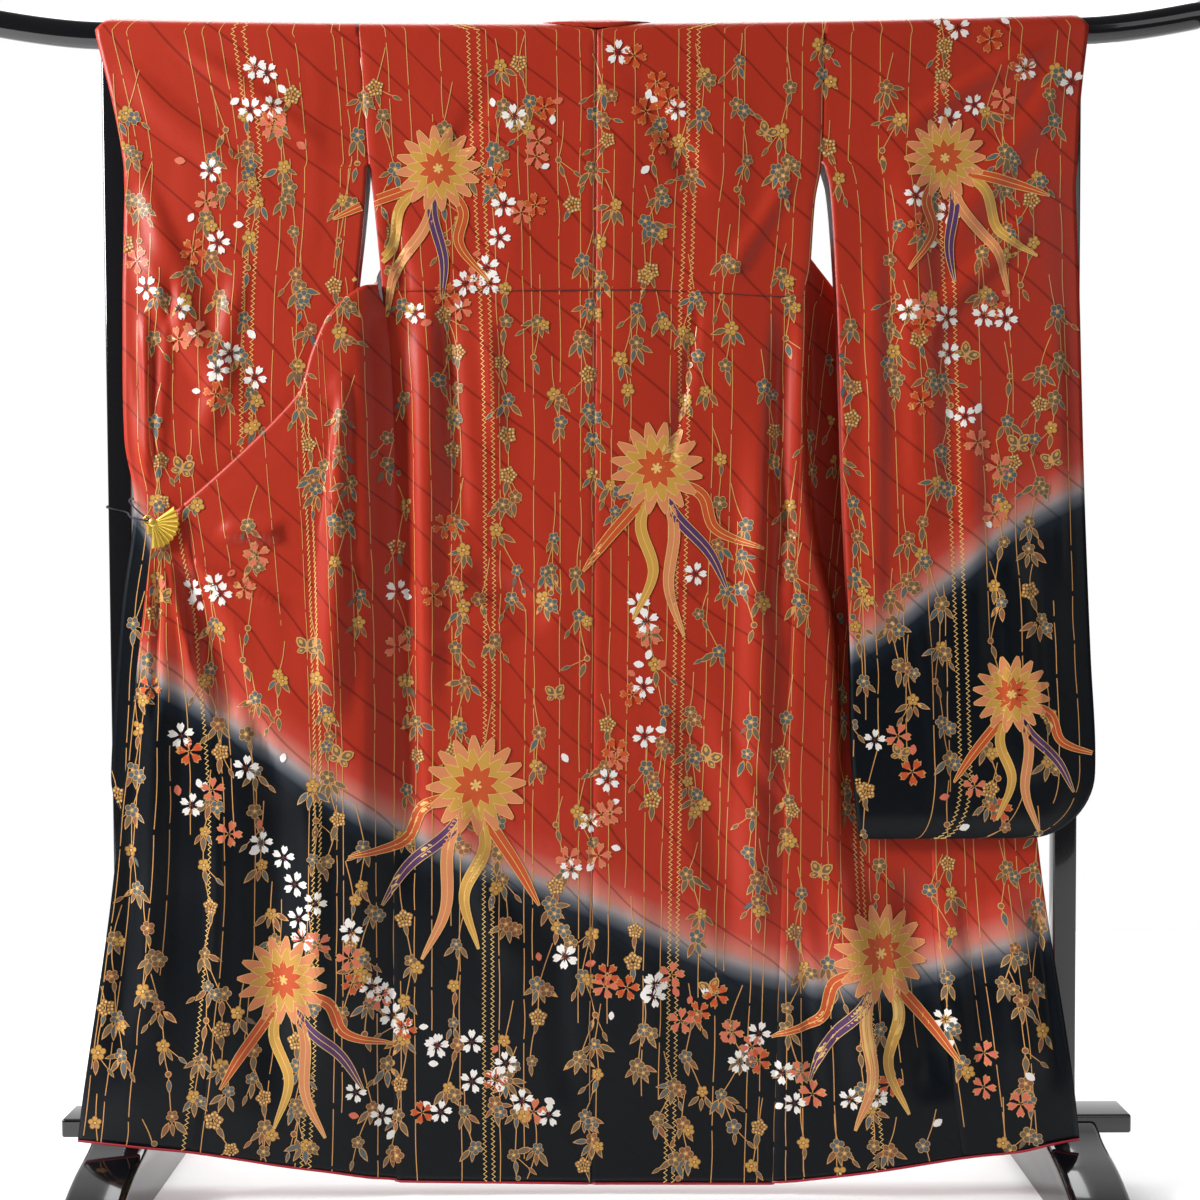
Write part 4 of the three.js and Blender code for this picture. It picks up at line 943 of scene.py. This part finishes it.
TREE = face_tree()
FRONT, REAR = -1, 1
HALF_WALL = 0.45
MARK_LIFT, LAYER_LIFT = HALF_WALL + 0.3, 0.07  # the lowest marks stand clear of the cloth by 0.3


def lay(x, v, lift, facing):
    """The point and the outer normal of the cloth at x and height v, or nothing where there is no cloth."""
    top = rod_height(x)
    if facing == FRONT and v > top:
        arc = math.pi * LAY - (v - top)
        if arc < 0.2 * LAY or not -640 < x < 648 or (
            arc < NECK["arc"] * LAY + 60 and abs(x - NECK["centre"]) < NECK["half"] + 62
        ):
            return None
        normal = Vector((0, math.cos(arc / LAY), math.sin(arc / LAY)))
        return over_rod(x, arc, lift), normal
    hit, normal, _, _ = TREE.ray_cast(Vector((x, facing * 400, v)), Vector((0, -facing, 0)))
    if hit is None or normal.y * facing < 0.25:
        return None
    return hit + normal * lift, normal


marks = {}  # colour: [fans, quads], each a list of points on the cloth


def put(colour, kind, points, layer, facing):
    lift = MARK_LIFT + LAYER_LIFT * layer
    laid = [lay(x, v, lift, facing) for x, v in points]
    if any(p is None for p in laid):
        return
    co = np.array([tuple(p[0]) for p in laid])
    if np.ptp(co[:, 1]) > 7:
        return
    if kind == 0:
        rim = co[:8]
        turn = np.cross(rim - rim[0], np.roll(rim, -1, 0) - rim[0]).sum(0)
        if turn @ np.array(laid[0][1]) < 0:
            co[:8] = rim[::-1].copy()
    elif np.cross(co[1] - co[0], co[3] - co[0]) @ np.array(laid[0][1]) < 0:
        co = co[[1, 0, 3, 2]]
    marks.setdefault(colour, ([], []))[kind].append(co)


def outline(*points, centre):
    return np.array([*points, centre], float)


def ring(x, y, radius):
    turns = [2 * math.pi * k / 8 for k in range(8)]
    return outline(*[(x + radius * math.cos(a), y + radius * math.sin(a)) for a in turns], centre=(x, y))


PLUM = ring(0, 0.62, 0.36)
PLUM_EDGE = ring(0, 0.62, 0.45)
CHERRY = outline(
    (0, 0.2), (0.17, 0.42), (0.30, 0.72), (0.16, 1.0), (0, 0.86), (-0.16, 1.0), (-0.30, 0.72),
    (-0.17, 0.42), centre=(0, 0.62)
)
LEAF = outline(
    (0, 0), (0.14, 0.22), (0.18, 0.46), (0.11, 0.76), (0, 1), (-0.11, 0.76), (-0.18, 0.46), (-0.14, 0.22),
    centre=(0, 0.5)
)
PETAL = outline(
    (0, 0), (0.22, 0.2), (0.34, 0.5), (0.2, 0.85), (0, 1), (-0.2, 0.85), (-0.34, 0.5), (-0.22, 0.2),
    centre=(0, 0.5)
)
DISC = ring(0, 0, 1)


def stamp(colour, shape, x, v, size, turn, layer=0, facing=FRONT):
    """One flat mark; turn 0 points it up, and it grows clockwise."""
    c, s = math.cos(turn), math.sin(turn)
    points = shape @ np.array([[c, -s], [s, c]]) * size + (x, v)
    put(colour, 0, points, layer, facing)


MARK_STEP = 6.0  # length of one mark in a line


def ribbon(colour, path, width, layer=0, facing=FRONT):
    """A line of short marks along a path; width is one number or one for each point of the path."""
    path = np.array(path, float)
    widths = np.full(len(path), width, float) if np.isscalar(width) else np.array(width, float)
    along = np.concatenate([[0], np.cumsum(np.linalg.norm(np.diff(path, axis=0), axis=1))])
    at = np.linspace(0, along[-1], max(2, int(along[-1] / MARK_STEP) + 2))
    x, v, w = (np.interp(at, along, q) for q in (path[:, 0], path[:, 1], widths))
    across = np.stack([-np.gradient(v), np.gradient(x)], 1)
    across *= (w / 2 / (np.linalg.norm(across, axis=1) + 1e-9))[:, None]
    centre, strips = np.stack([x, v], 1), math.ceil(w.max() / 8)
    for k in range(strips):
        low, high = (centre + across * (2 * q / strips - 1) for q in (k, k + 1))
        for i in range(len(at) - 1):
            put(colour, 1, [low[i], high[i], high[i + 1], low[i + 1]], layer, facing)


def curve(points, cells=8):
    knots = [Vector((x, 0, z)) for x, z in points]
    return [(p.x, p.z) for p in (smooth_path(knots, t) for t in spread(0, 1, cells * (len(points) - 1)))]


dice = random.Random(47)


def leaf(x, v, size, turn, facing, layer=1):
    stamp("gold", LEAF, x, v, size, turn, layer, facing)
    colour = dice.choice(("olive", "olive", "olive", "brown", "teal"))
    stamp(colour, LEAF * 0.78 + (0, 0.1), x, v, size, turn, layer + 1, facing)


def small_blossom(x, v, size, facing, layer=3):
    colour = dice.choice(("teal", "teal", "olive", "olive", "ochre", "brown", "ochre"))
    turn = dice.uniform(0, 1.2)
    for k in range(5):
        a = turn + k * 2 * math.pi / 5
        stamp("brown" if colour == "ochre" else "gold", PLUM_EDGE, x, v, size, a, layer, facing)
        stamp(colour, PLUM, x, v, size, a, layer + 1, facing)
    stamp("pale_gold", DISC, x, v, size * 0.2, 0, layer + 2, facing)


def woven_blossom(x, v, size, facing):
    """A gold blossom filled with a basket weave."""
    turn = dice.uniform(0, 1.2)
    for k in range(5):
        stamp("brown", PLUM_EDGE, x, v, size, turn + k * 2 * math.pi / 5, 3, facing)
    for k in range(5):
        a = turn + k * 2 * math.pi / 5
        for out, across in ((0.34, 0), (0.66, -0.24), (0.66, 0.24), (0.92, 0)):
            p = (
                x + size * (out * math.sin(a) + across * math.cos(a)),
                v + size * (out * math.cos(a) - across * math.sin(a)),
            )
            stamp("pale_gold" if across else "ochre", DISC, *p, size * 0.15, 0, 4, facing)


def cherry_blossom(x, v, size, colour, facing):
    turn, vein = dice.uniform(0, 1.2), "wine_and_painted_shade" if colour == "white" else "gold"
    for k in range(5):
        a = turn + k * 2 * math.pi / 5
        if colour != "white":
            stamp("gold", CHERRY * 1.06, x, v, size, a, 6, facing)
        stamp(colour, CHERRY * 0.97, x, v, size, a, 7, facing)
        stamp(vein, LEAF * (0.5, 1), x, v, size * 0.46, a, 8, facing)
    stamp("wine_and_painted_shade", DISC, x, v, size * 0.08, 0, 9, facing)


def butterfly(x, v, size, turn, facing):
    for flip in (-1, 1):
        for reach, bend in ((1.0, 0.75), (0.7, 1.9)):
            a = turn + flip * bend
            stamp("gold", PETAL, x, v, size * reach, a, 5, facing)
            stamp("olive", PETAL * 0.72 + (0, 0.16), x, v, size * reach, a, 6, facing)
            stamp("ochre", PETAL * 0.36 + (0, 0.42), x, v, size * reach, a, 7, facing)
    stamp(
        "gold", LEAF * (0.8, 1), x - math.sin(turn) * size * 0.3, v - math.cos(turn) * size * 0.3,
        size * 0.8, turn, 8, facing,
    )


def hanging_branch(x, v, facing=FRONT):
    """A thin twig that falls in bent lengths, with leaves and small blossoms at its bends."""
    lean = dice.uniform(-0.35, 0.35)
    for k in range(dice.randint(2, 4)):
        length = dice.uniform(34, 62)
        x2, v2 = x + length * math.sin(lean), v - length * math.cos(lean)
        middle = ((x + x2) / 2 + dice.uniform(-2, 2), (v + v2) / 2)
        ribbon("gold", curve([(x, v), middle, (x2, v2)], 4), 1.3, 1, facing)
        x, v = x2, v2
        lean = clamp(0.5 - lean * 0.7 + dice.uniform(-0.3, 0.3)) - 0.5
        choice = dice.random()
        group = dice.choice((2, 3, 3, 4)) if choice < 0.62 else 1
        for k in range(group):
            turn = math.pi - lean + (k - (group - 1) / 2) * dice.uniform(0.5, 0.75)
            leaf(x + 6 * math.sin(turn), v + 6 * math.cos(turn), dice.uniform(17, 26), turn, facing)
        if choice < 0.8:
            small_blossom(x + dice.uniform(-3, 3), v + dice.uniform(-3, 3), dice.uniform(7.6, 10.4), facing)
            if choice < 0.25:
                small_blossom(
                    x + dice.uniform(6, 11), v - dice.uniform(6, 12), dice.uniform(7.5, 10), facing, layer=6
                )
        elif choice < 0.9:
            woven_blossom(x, v, dice.uniform(10, 12.5), facing)
        else:
            stamp("gold", DISC, x, v, 4.6, 0, 3, facing)
            stamp("brown", DISC, x, v, 3.2, 0, 4, facing)
        if dice.random() < 0.35:
            a = lean + dice.choice((-1, 1)) * dice.uniform(0.5, 0.9)
            tip = (x + 24 * math.sin(a), v - 24 * math.cos(a))
            ribbon("gold", [(x, v), tip], 1.1, 1, facing)
            leaf(*tip, 16, math.pi - a, facing)


LOOSE_PETALS = 0.6  # for each blossom


def cherry_flow(points, count, facing=FRONT):
    """Cherry blossoms and fallen petals scattered along a curved drift."""
    way = [Vector((x, 0, z)) for x, z in points]
    for k in range(count):
        p = smooth_path(way, clamp((k + dice.uniform(0.1, 0.9)) / count))
        x, v = p.x + dice.gauss(0, 19), p.z + dice.gauss(0, 15)
        size = dice.uniform(15, 18.5)
        cherry_blossom(x, v, size, dice.choice(("white", "white", "white", "coral", "orange")), facing)
        if dice.random() < LOOSE_PETALS:
            turn = dice.uniform(0, 6.28)
            place = (x + dice.gauss(0, 30), v + dice.gauss(0, 30))
            colour = dice.choice(("white", "white", "coral"))
            stamp(colour, PETAL, *place, dice.uniform(12, 16), turn, 6, facing)


def chrysanthemum(x, v, size, turn, mirror=1, facing=FRONT):
    """A chrysanthemum head with long ribbons streaming from it; its own frame has the ribbons below."""
    c, s = math.cos(turn), math.sin(turn)

    def at(px, py):
        px, py = px * mirror * size, py * size
        return (x + c * px + s * py, v - s * px + c * py)

    def blade(path, width, fill, layer, vein=True, cells=5):
        """A petal or a ribbon: an edge, a filled middle and a line along it."""
        path = [at(*p) for p in curve(path, cells)]
        last = len(path) - 1
        shape = [width * size * math.sin(math.pi * (0.12 + 0.86 * k / last)) ** 0.7 for k in range(last + 1)]
        ribbon("pale_gold", path, [w + 1.7 for w in shape], layer, facing)
        ribbon(fill, path, shape, layer + 1, facing)
        if vein:
            ribbon("pale_gold", path, 0.9, layer + 2, facing)

    streamers = [
        (-104, -96, "orange"), (-60, -160, "ochre"), (-8, -190, "salmon"), (50, -150, "purple"),
        (98, -112, "orange"),
    ]
    for k, (dx, dy, fill) in enumerate(streamers):
        sway = 9 * (-1) ** k
        path = [(0, -10), (dx * 0.35 + sway, dy * 0.35), (dx * 0.6 - sway, dy * 0.7), (dx, dy)]
        blade(path, 12, fill, 9, cells=7)
    for ring, (petals, reach, width, fill) in enumerate(
        ((16, 52, 14, "salmon"), (14, 38, 12, "ochre"), (10, 23, 10, "orange"))
    ):
        for k in range(petals):
            angle = 2 * math.pi * (k + ring / 2) / petals
            along = [(r * reach * math.cos(angle), r * reach * math.sin(angle)) for r in (0.1, 0.4, 0.7, 1)]
            blade(along, width, fill, 11 + 2 * ring, vein=False, cells=3)
    for k in range(6):
        angle = math.pi * k / 3
        ribbon("pale_gold", [at(0, 0), at(6 * math.cos(angle), 6 * math.sin(angle))], 3.2, 17, facing)


def thread_line(grid, turned, place, runs, colour="gold", width=1.25, zigzag=0.0, seed=0):
    rows, across = grid.shape[:2]
    cell = clamp(place) * (across - 1)
    c = min(across - 2, int(cell))
    w = cell - c
    path = grid[:, c] * (1 - w) + grid[:, c + 1] * w
    step = np.linalg.norm(np.diff(path, axis=0), axis=1)
    keep = np.concatenate([[True], step > 0.01])
    path = path[keep]
    cross = (grid[:, c + 1] - grid[:, c])[keep]
    cross /= np.linalg.norm(cross, axis=1)[:, None] + 1e-9
    down = np.gradient(path, axis=0)
    normal = np.cross(cross, down)
    normal /= np.linalg.norm(normal, axis=1)[:, None] + 1e-9
    if turned:
        normal = -normal
    along = np.concatenate([[0], np.cumsum(np.linalg.norm(np.diff(path, axis=0), axis=1))])
    own = random.Random(seed)
    for start, end in runs:
        at, end = start * along[-1], end * along[-1]
        while at < end:
            dash = min(end - at, 1e9 if zigzag else own.uniform(45, 110))
            pace = 3.4 if zigzag else 5.5
            n = max(1, int(dash / pace))
            ls = at + dash * np.arange(n + 1) / n
            p, q, m = (
                np.stack([np.interp(ls, along, a[:, i]) for i in range(3)], 1) for a in (path, cross, normal)
            )
            bend = own.uniform(-1.4, 1.4)
            if zigzag:
                sway = zigzag * (-1.0) ** np.arange(n + 1)
            else:
                sway = bend * np.sin(np.linspace(0, math.pi, n + 1))
            p = p + q * sway[:, None] + m * MARK_LIFT
            side = q * width / 2
            if zigzag:
                side = np.cross(m, np.gradient(p, axis=0))
                side = side / (np.linalg.norm(side, axis=1)[:, None] + 1e-9) * width / 2
            for i in range(n):
                co = np.array(
                    [p[i] - side[i], p[i] + side[i], p[i + 1] + side[i + 1], p[i + 1] - side[i + 1]]
                )
                if np.cross(co[1] - co[0], co[3] - co[0]) @ m[i] < 0:
                    co = co[[1, 0, 3, 2]]
                marks.setdefault(colour, ([], []))[1].append(co)
            at += dash + own.uniform(4, 9)


def line_runs(own, chance):
    """Parts of the length a line covers."""
    if own.random() < chance:
        return [(0.0, 1.0)]
    cuts = sorted(own.uniform(0, 1) for _ in range(4))
    return [(cuts[0] * 0.4, cuts[1]), (cuts[2], 1 - (1 - cuts[3]) * 0.5)]


def cover_with_lines(key, count, pairs, seed):
    grid, turned = grids[key], (key[1] > 0) != (key[0] == "sleeve")
    own = random.Random(seed)
    for k in range(count):
        place = (k + own.uniform(0.15, 0.85)) / count
        if all(abs(place - p) > 0.03 for p in pairs):
            thread_line(grid, turned, place, line_runs(own, 0.5), seed=seed * 50 + k)
    for place in pairs:
        thread_line(grid, turned, place, [(0.0, 1.0)], "pale_gold", 1.5, 2.3)


for side in (-1, 1):
    cover_with_lines(("body", side), 12, (0.46, 0.50) if side < 0 else (0.55, 0.59), 3 + side)
    cover_with_lines(("okumi", side), 6, (0.10,) if side < 0 else (), 13 + side)
    cover_with_lines(("sleeve", side), 11, (0.44, 0.48), 23 + side)


VIEW_MIDDLE, VIEW_TOP = 594, 1610.6
VIEW_STEP = (1.344, -1.369)  # millimetres for a step to the right and a step down


def from_view(x, y):
    """Millimetres of a place given as it stands in the front view."""
    return ((x - VIEW_MIDDLE) * VIEW_STEP[0], VIEW_TOP + VIEW_STEP[1] * y)


for i in range(20):
    for j in range(11):
        x, v = -655 + 66 * i + dice.uniform(-24, 24), 165 + 138 * j + dice.uniform(-50, 50)
        hanging_branch(x, v)
        if dice.random() < 0.06:
            butterfly(x + 30, v - 10, dice.uniform(18, 22), dice.uniform(-0.8, 0.8), FRONT)
FLOWS = [
    (7, (598, 40), (650, 90), (660, 130)), (9, (560, 90), (530, 170), (505, 235)),
    (7, (500, 262), (462, 285), (430, 320)),
    (6, (262, 45), (285, 90), (270, 150)), (8, (240, 165), (205, 215), (165, 275), (180, 350)),
    (5, (215, 330), (245, 385)),
    (6, (935, 40), (1000, 45), (1065, 100)), (8, (1000, 95), (940, 165), (915, 240)),
    (8, (890, 260), (950, 330), (985, 310)),
    (5, (905, 390), (985, 440), (1010, 520)), (6, (195, 590), (240, 585), (262, 540)),
    (12, (165, 680), (240, 790), (300, 890)),
    (10, (300, 900), (360, 950), (392, 995)), (12, (395, 1010), (470, 1045), (535, 1085)),
    (10, (640, 720), (590, 790), (575, 860)),
    (6, (560, 930), (620, 960), (660, 975)), (12, (650, 960), (720, 1010), (770, 1060)),
    (6, (780, 1050), (830, 1075), (880, 1060)),
    (6, (700, 530), (640, 620), (660, 690)), (4, (450, 500), (420, 560), (400, 640)),
    (5, (860, 690), (930, 760), (1000, 790)),
    (4, (330, 1085), (400, 1100), (460, 1110)), (4, (920, 980), (985, 1050), (1040, 1090)),
]
for count, *points in FLOWS:
    cherry_flow([from_view(*p) for p in points], count)
for x, v, size, turn, mirror in (
    (-205, 1385, 1.1, 0.3, 1), (470, 1395, 1.05, -0.4, -1), (85, 985, 1.2, -0.2, 1),
    (-160, 560, 1.3, 0.35, -1),
    (-420, 300, 1.15, -0.3, 1), (385, 330, 1.25, 0.2, -1), (560, 680, 1.0, -0.25, 1),
):
    chrysanthemum(x, v, size, turn, mirror)
# The rear of the sleeves and of the fronts carries the same pattern, seen from behind.
for i in range(20):
    for j in range(8):
        hanging_branch(-640 + 67 * i + dice.uniform(-24, 24), 560 + 140 * j + dice.uniform(-50, 50), REAR)
for count, *points in (
    (8, (-600, 1480), (-520, 1330), (-560, 1180)), (8, (-480, 1150), (-540, 950), (-440, 760)),
    (7, (600, 1490), (500, 1380), (560, 1220)),
    (8, (450, 1150), (560, 960), (480, 760)), (6, (-220, 1480), (-160, 1400), (-230, 1300)),
    (6, (200, 1480), (150, 1400), (260, 1280)),
):
    cherry_flow(points, count, REAR)
chrysanthemum(-500, 1250, 0.95, 0.3, 1, REAR)
chrysanthemum(500, 860, 0.95, -0.3, -1, REAR)
ribbon("wine_and_painted_shade", [(x, tuck_height(x) + 0.5) for x in range(-270, 273, 6)], 1.2)  # a dark strip along the sewn line of the tuck: painted shade under the tuck's step

TINTS = {
    "gold": ((0.68, 0.34, 0.105), 0.38), "pale_gold": ((0.84, 0.54, 0.17), 0.36),
    "ochre": ((0.64, 0.34, 0.06), 0.42),
    "olive": ((0.17, 0.115, 0.06), 0.5), "teal": ((0.095, 0.125, 0.125), 0.5),
    "brown": ((0.25, 0.10, 0.045), 0.5),
    "white": ((0.95, 0.90, 0.84), 0.5), "coral": ((0.72, 0.17, 0.09), 0.5),
    "orange": ((0.60, 0.085, 0.015), 0.48),
    "salmon": ((0.72, 0.25, 0.10), 0.46), "wine_and_painted_shade": ((0.10, 0.008, 0.008), 0.5),
    "green": ((0.012, 0.035, 0.03), 0.45),
    "purple": ((0.09, 0.03, 0.12), 0.48),
}


def repeat(bm, count):
    """Copies the one mark in the mesh until there are count of them, in order."""
    verts, faces, made = len(bm.verts), len(bm.faces), 1
    while made < count:
        take = min(made, count - made)
        bm.verts.ensure_lookup_table()
        bm.faces.ensure_lookup_table()
        bmesh.ops.duplicate(bm, geom=bm.verts[: take * verts] + bm.faces[: take * faces])
        made += take


def marks_mesh(kind, stamps):
    bm = bmesh.new()
    if kind == 0:
        bmesh.ops.create_circle(bm, cap_ends=True, cap_tris=True, segments=8, radius=1)
        order = []
        for v in bm.verts:
            rim = round(math.atan2(v.co.y, v.co.x) / (math.pi / 4)) % 8
            order.append(8 if v.co.length < 0.1 else rim)
    else:
        bmesh.ops.create_grid(bm, x_segments=1, y_segments=1, size=1)
        order = [
            {(-1, -1): 0, (1, -1): 1, (1, 1): 2, (-1, 1): 3}[round(v.co.x), round(v.co.y)] for v in bm.verts
        ]
    repeat(bm, len(stamps))
    mesh = bpy.data.meshes.new("marks")
    bm.to_mesh(mesh)
    bm.free()
    co = np.array(stamps)[:, order] * MM
    mesh.vertices.foreach_set("co", co.reshape(-1))
    return mesh


for colour, (fans, quads) in marks.items():
    tint, roughness = TINTS[colour]
    material, tree, shader = new_material(f"{colour}_mark", tint, roughness)
    add_bump(tree, shader, by_place(tree, "TexNoise", Scale=900.0, Detail=2.0), 0.35, 0.0003)
    bm = bmesh.new()
    for kind, stamps in enumerate((fans, quads)):
        if stamps:
            mesh = marks_mesh(kind, stamps)
            bm.from_mesh(mesh)
            bpy.data.meshes.remove(mesh)
    from_bmesh(f"pattern_{colour}", bm, "red_silk", (material,), flat=True)

# ---- Floor, light ----
bm = bmesh.new()
bmesh.ops.create_grid(bm, x_segments=8, y_segments=8, size=1.0)
bmesh.ops.scale(bm, vec=(2.3, 1.5, 1), verts=bm.verts)
floor_mesh = bpy.data.meshes.new("floor")
bm.to_mesh(floor_mesh)
bm.free()
floor = bpy.data.objects.new("floor", floor_mesh)
bpy.context.scene.collection.objects.link(floor)
floor_paint, _, _ = new_material("floor_paint", (0.88, 0.88, 0.88), 0.8)
floor.data.materials.append(floor_paint)


def area_light(name, place, target, size, power):
    light = bpy.data.lights.new(name, "AREA")
    light.shape, light.energy = "RECTANGLE", power
    light.size, light.size_y = size
    obj = bpy.data.objects.new(name, light)
    obj.location = place
    obj.rotation_euler = (Vector(target) - Vector(place)).to_track_quat("-Z", "Y").to_euler()
    bpy.context.scene.collection.objects.link(obj)


area_light("key", (-3.2, -1.25, 2.5), (0.1, 0, 0.95), (0.8, 1.3), 194)
area_light("fill", (2.3, -2.6, 1.7), (0.1, 0, 0.8), (1.4, 1.8), 9)
area_light("top", (0, 1.0, 2.9), (0, 0.3, 0), (2.8, 1.0), 44)
area_light("back", (0.4, 2.6, 2.4), (0, 0, 0.8), (2.4, 1.6), 60)
world = bpy.data.worlds.new("studio")
bpy.context.scene.world = world
world.use_nodes = True
sky = world.node_tree
direction = add_node(sky, "TexCoord")
split = add_node(sky, "SeparateXYZ")
sky.links.new(direction.outputs["Generated"], split.inputs["Vector"])
stops = [(0.0, (0.10, 0.10, 0.103)), (0.5, (0.16, 0.16, 0.163)), (0.7, (1, 1, 1)), (1.0, (1, 1, 1))]
half = add_node(sky, "MapRange")
half.inputs["From Min"].default_value = -1
sky.links.new(split.outputs["Y"], half.inputs["Value"])
sky.links.new(ramp(sky, half.outputs["Result"], stops), sky.nodes["Background"].inputs["Color"])
bpy.context.scene.view_settings.view_transform = "Standard"
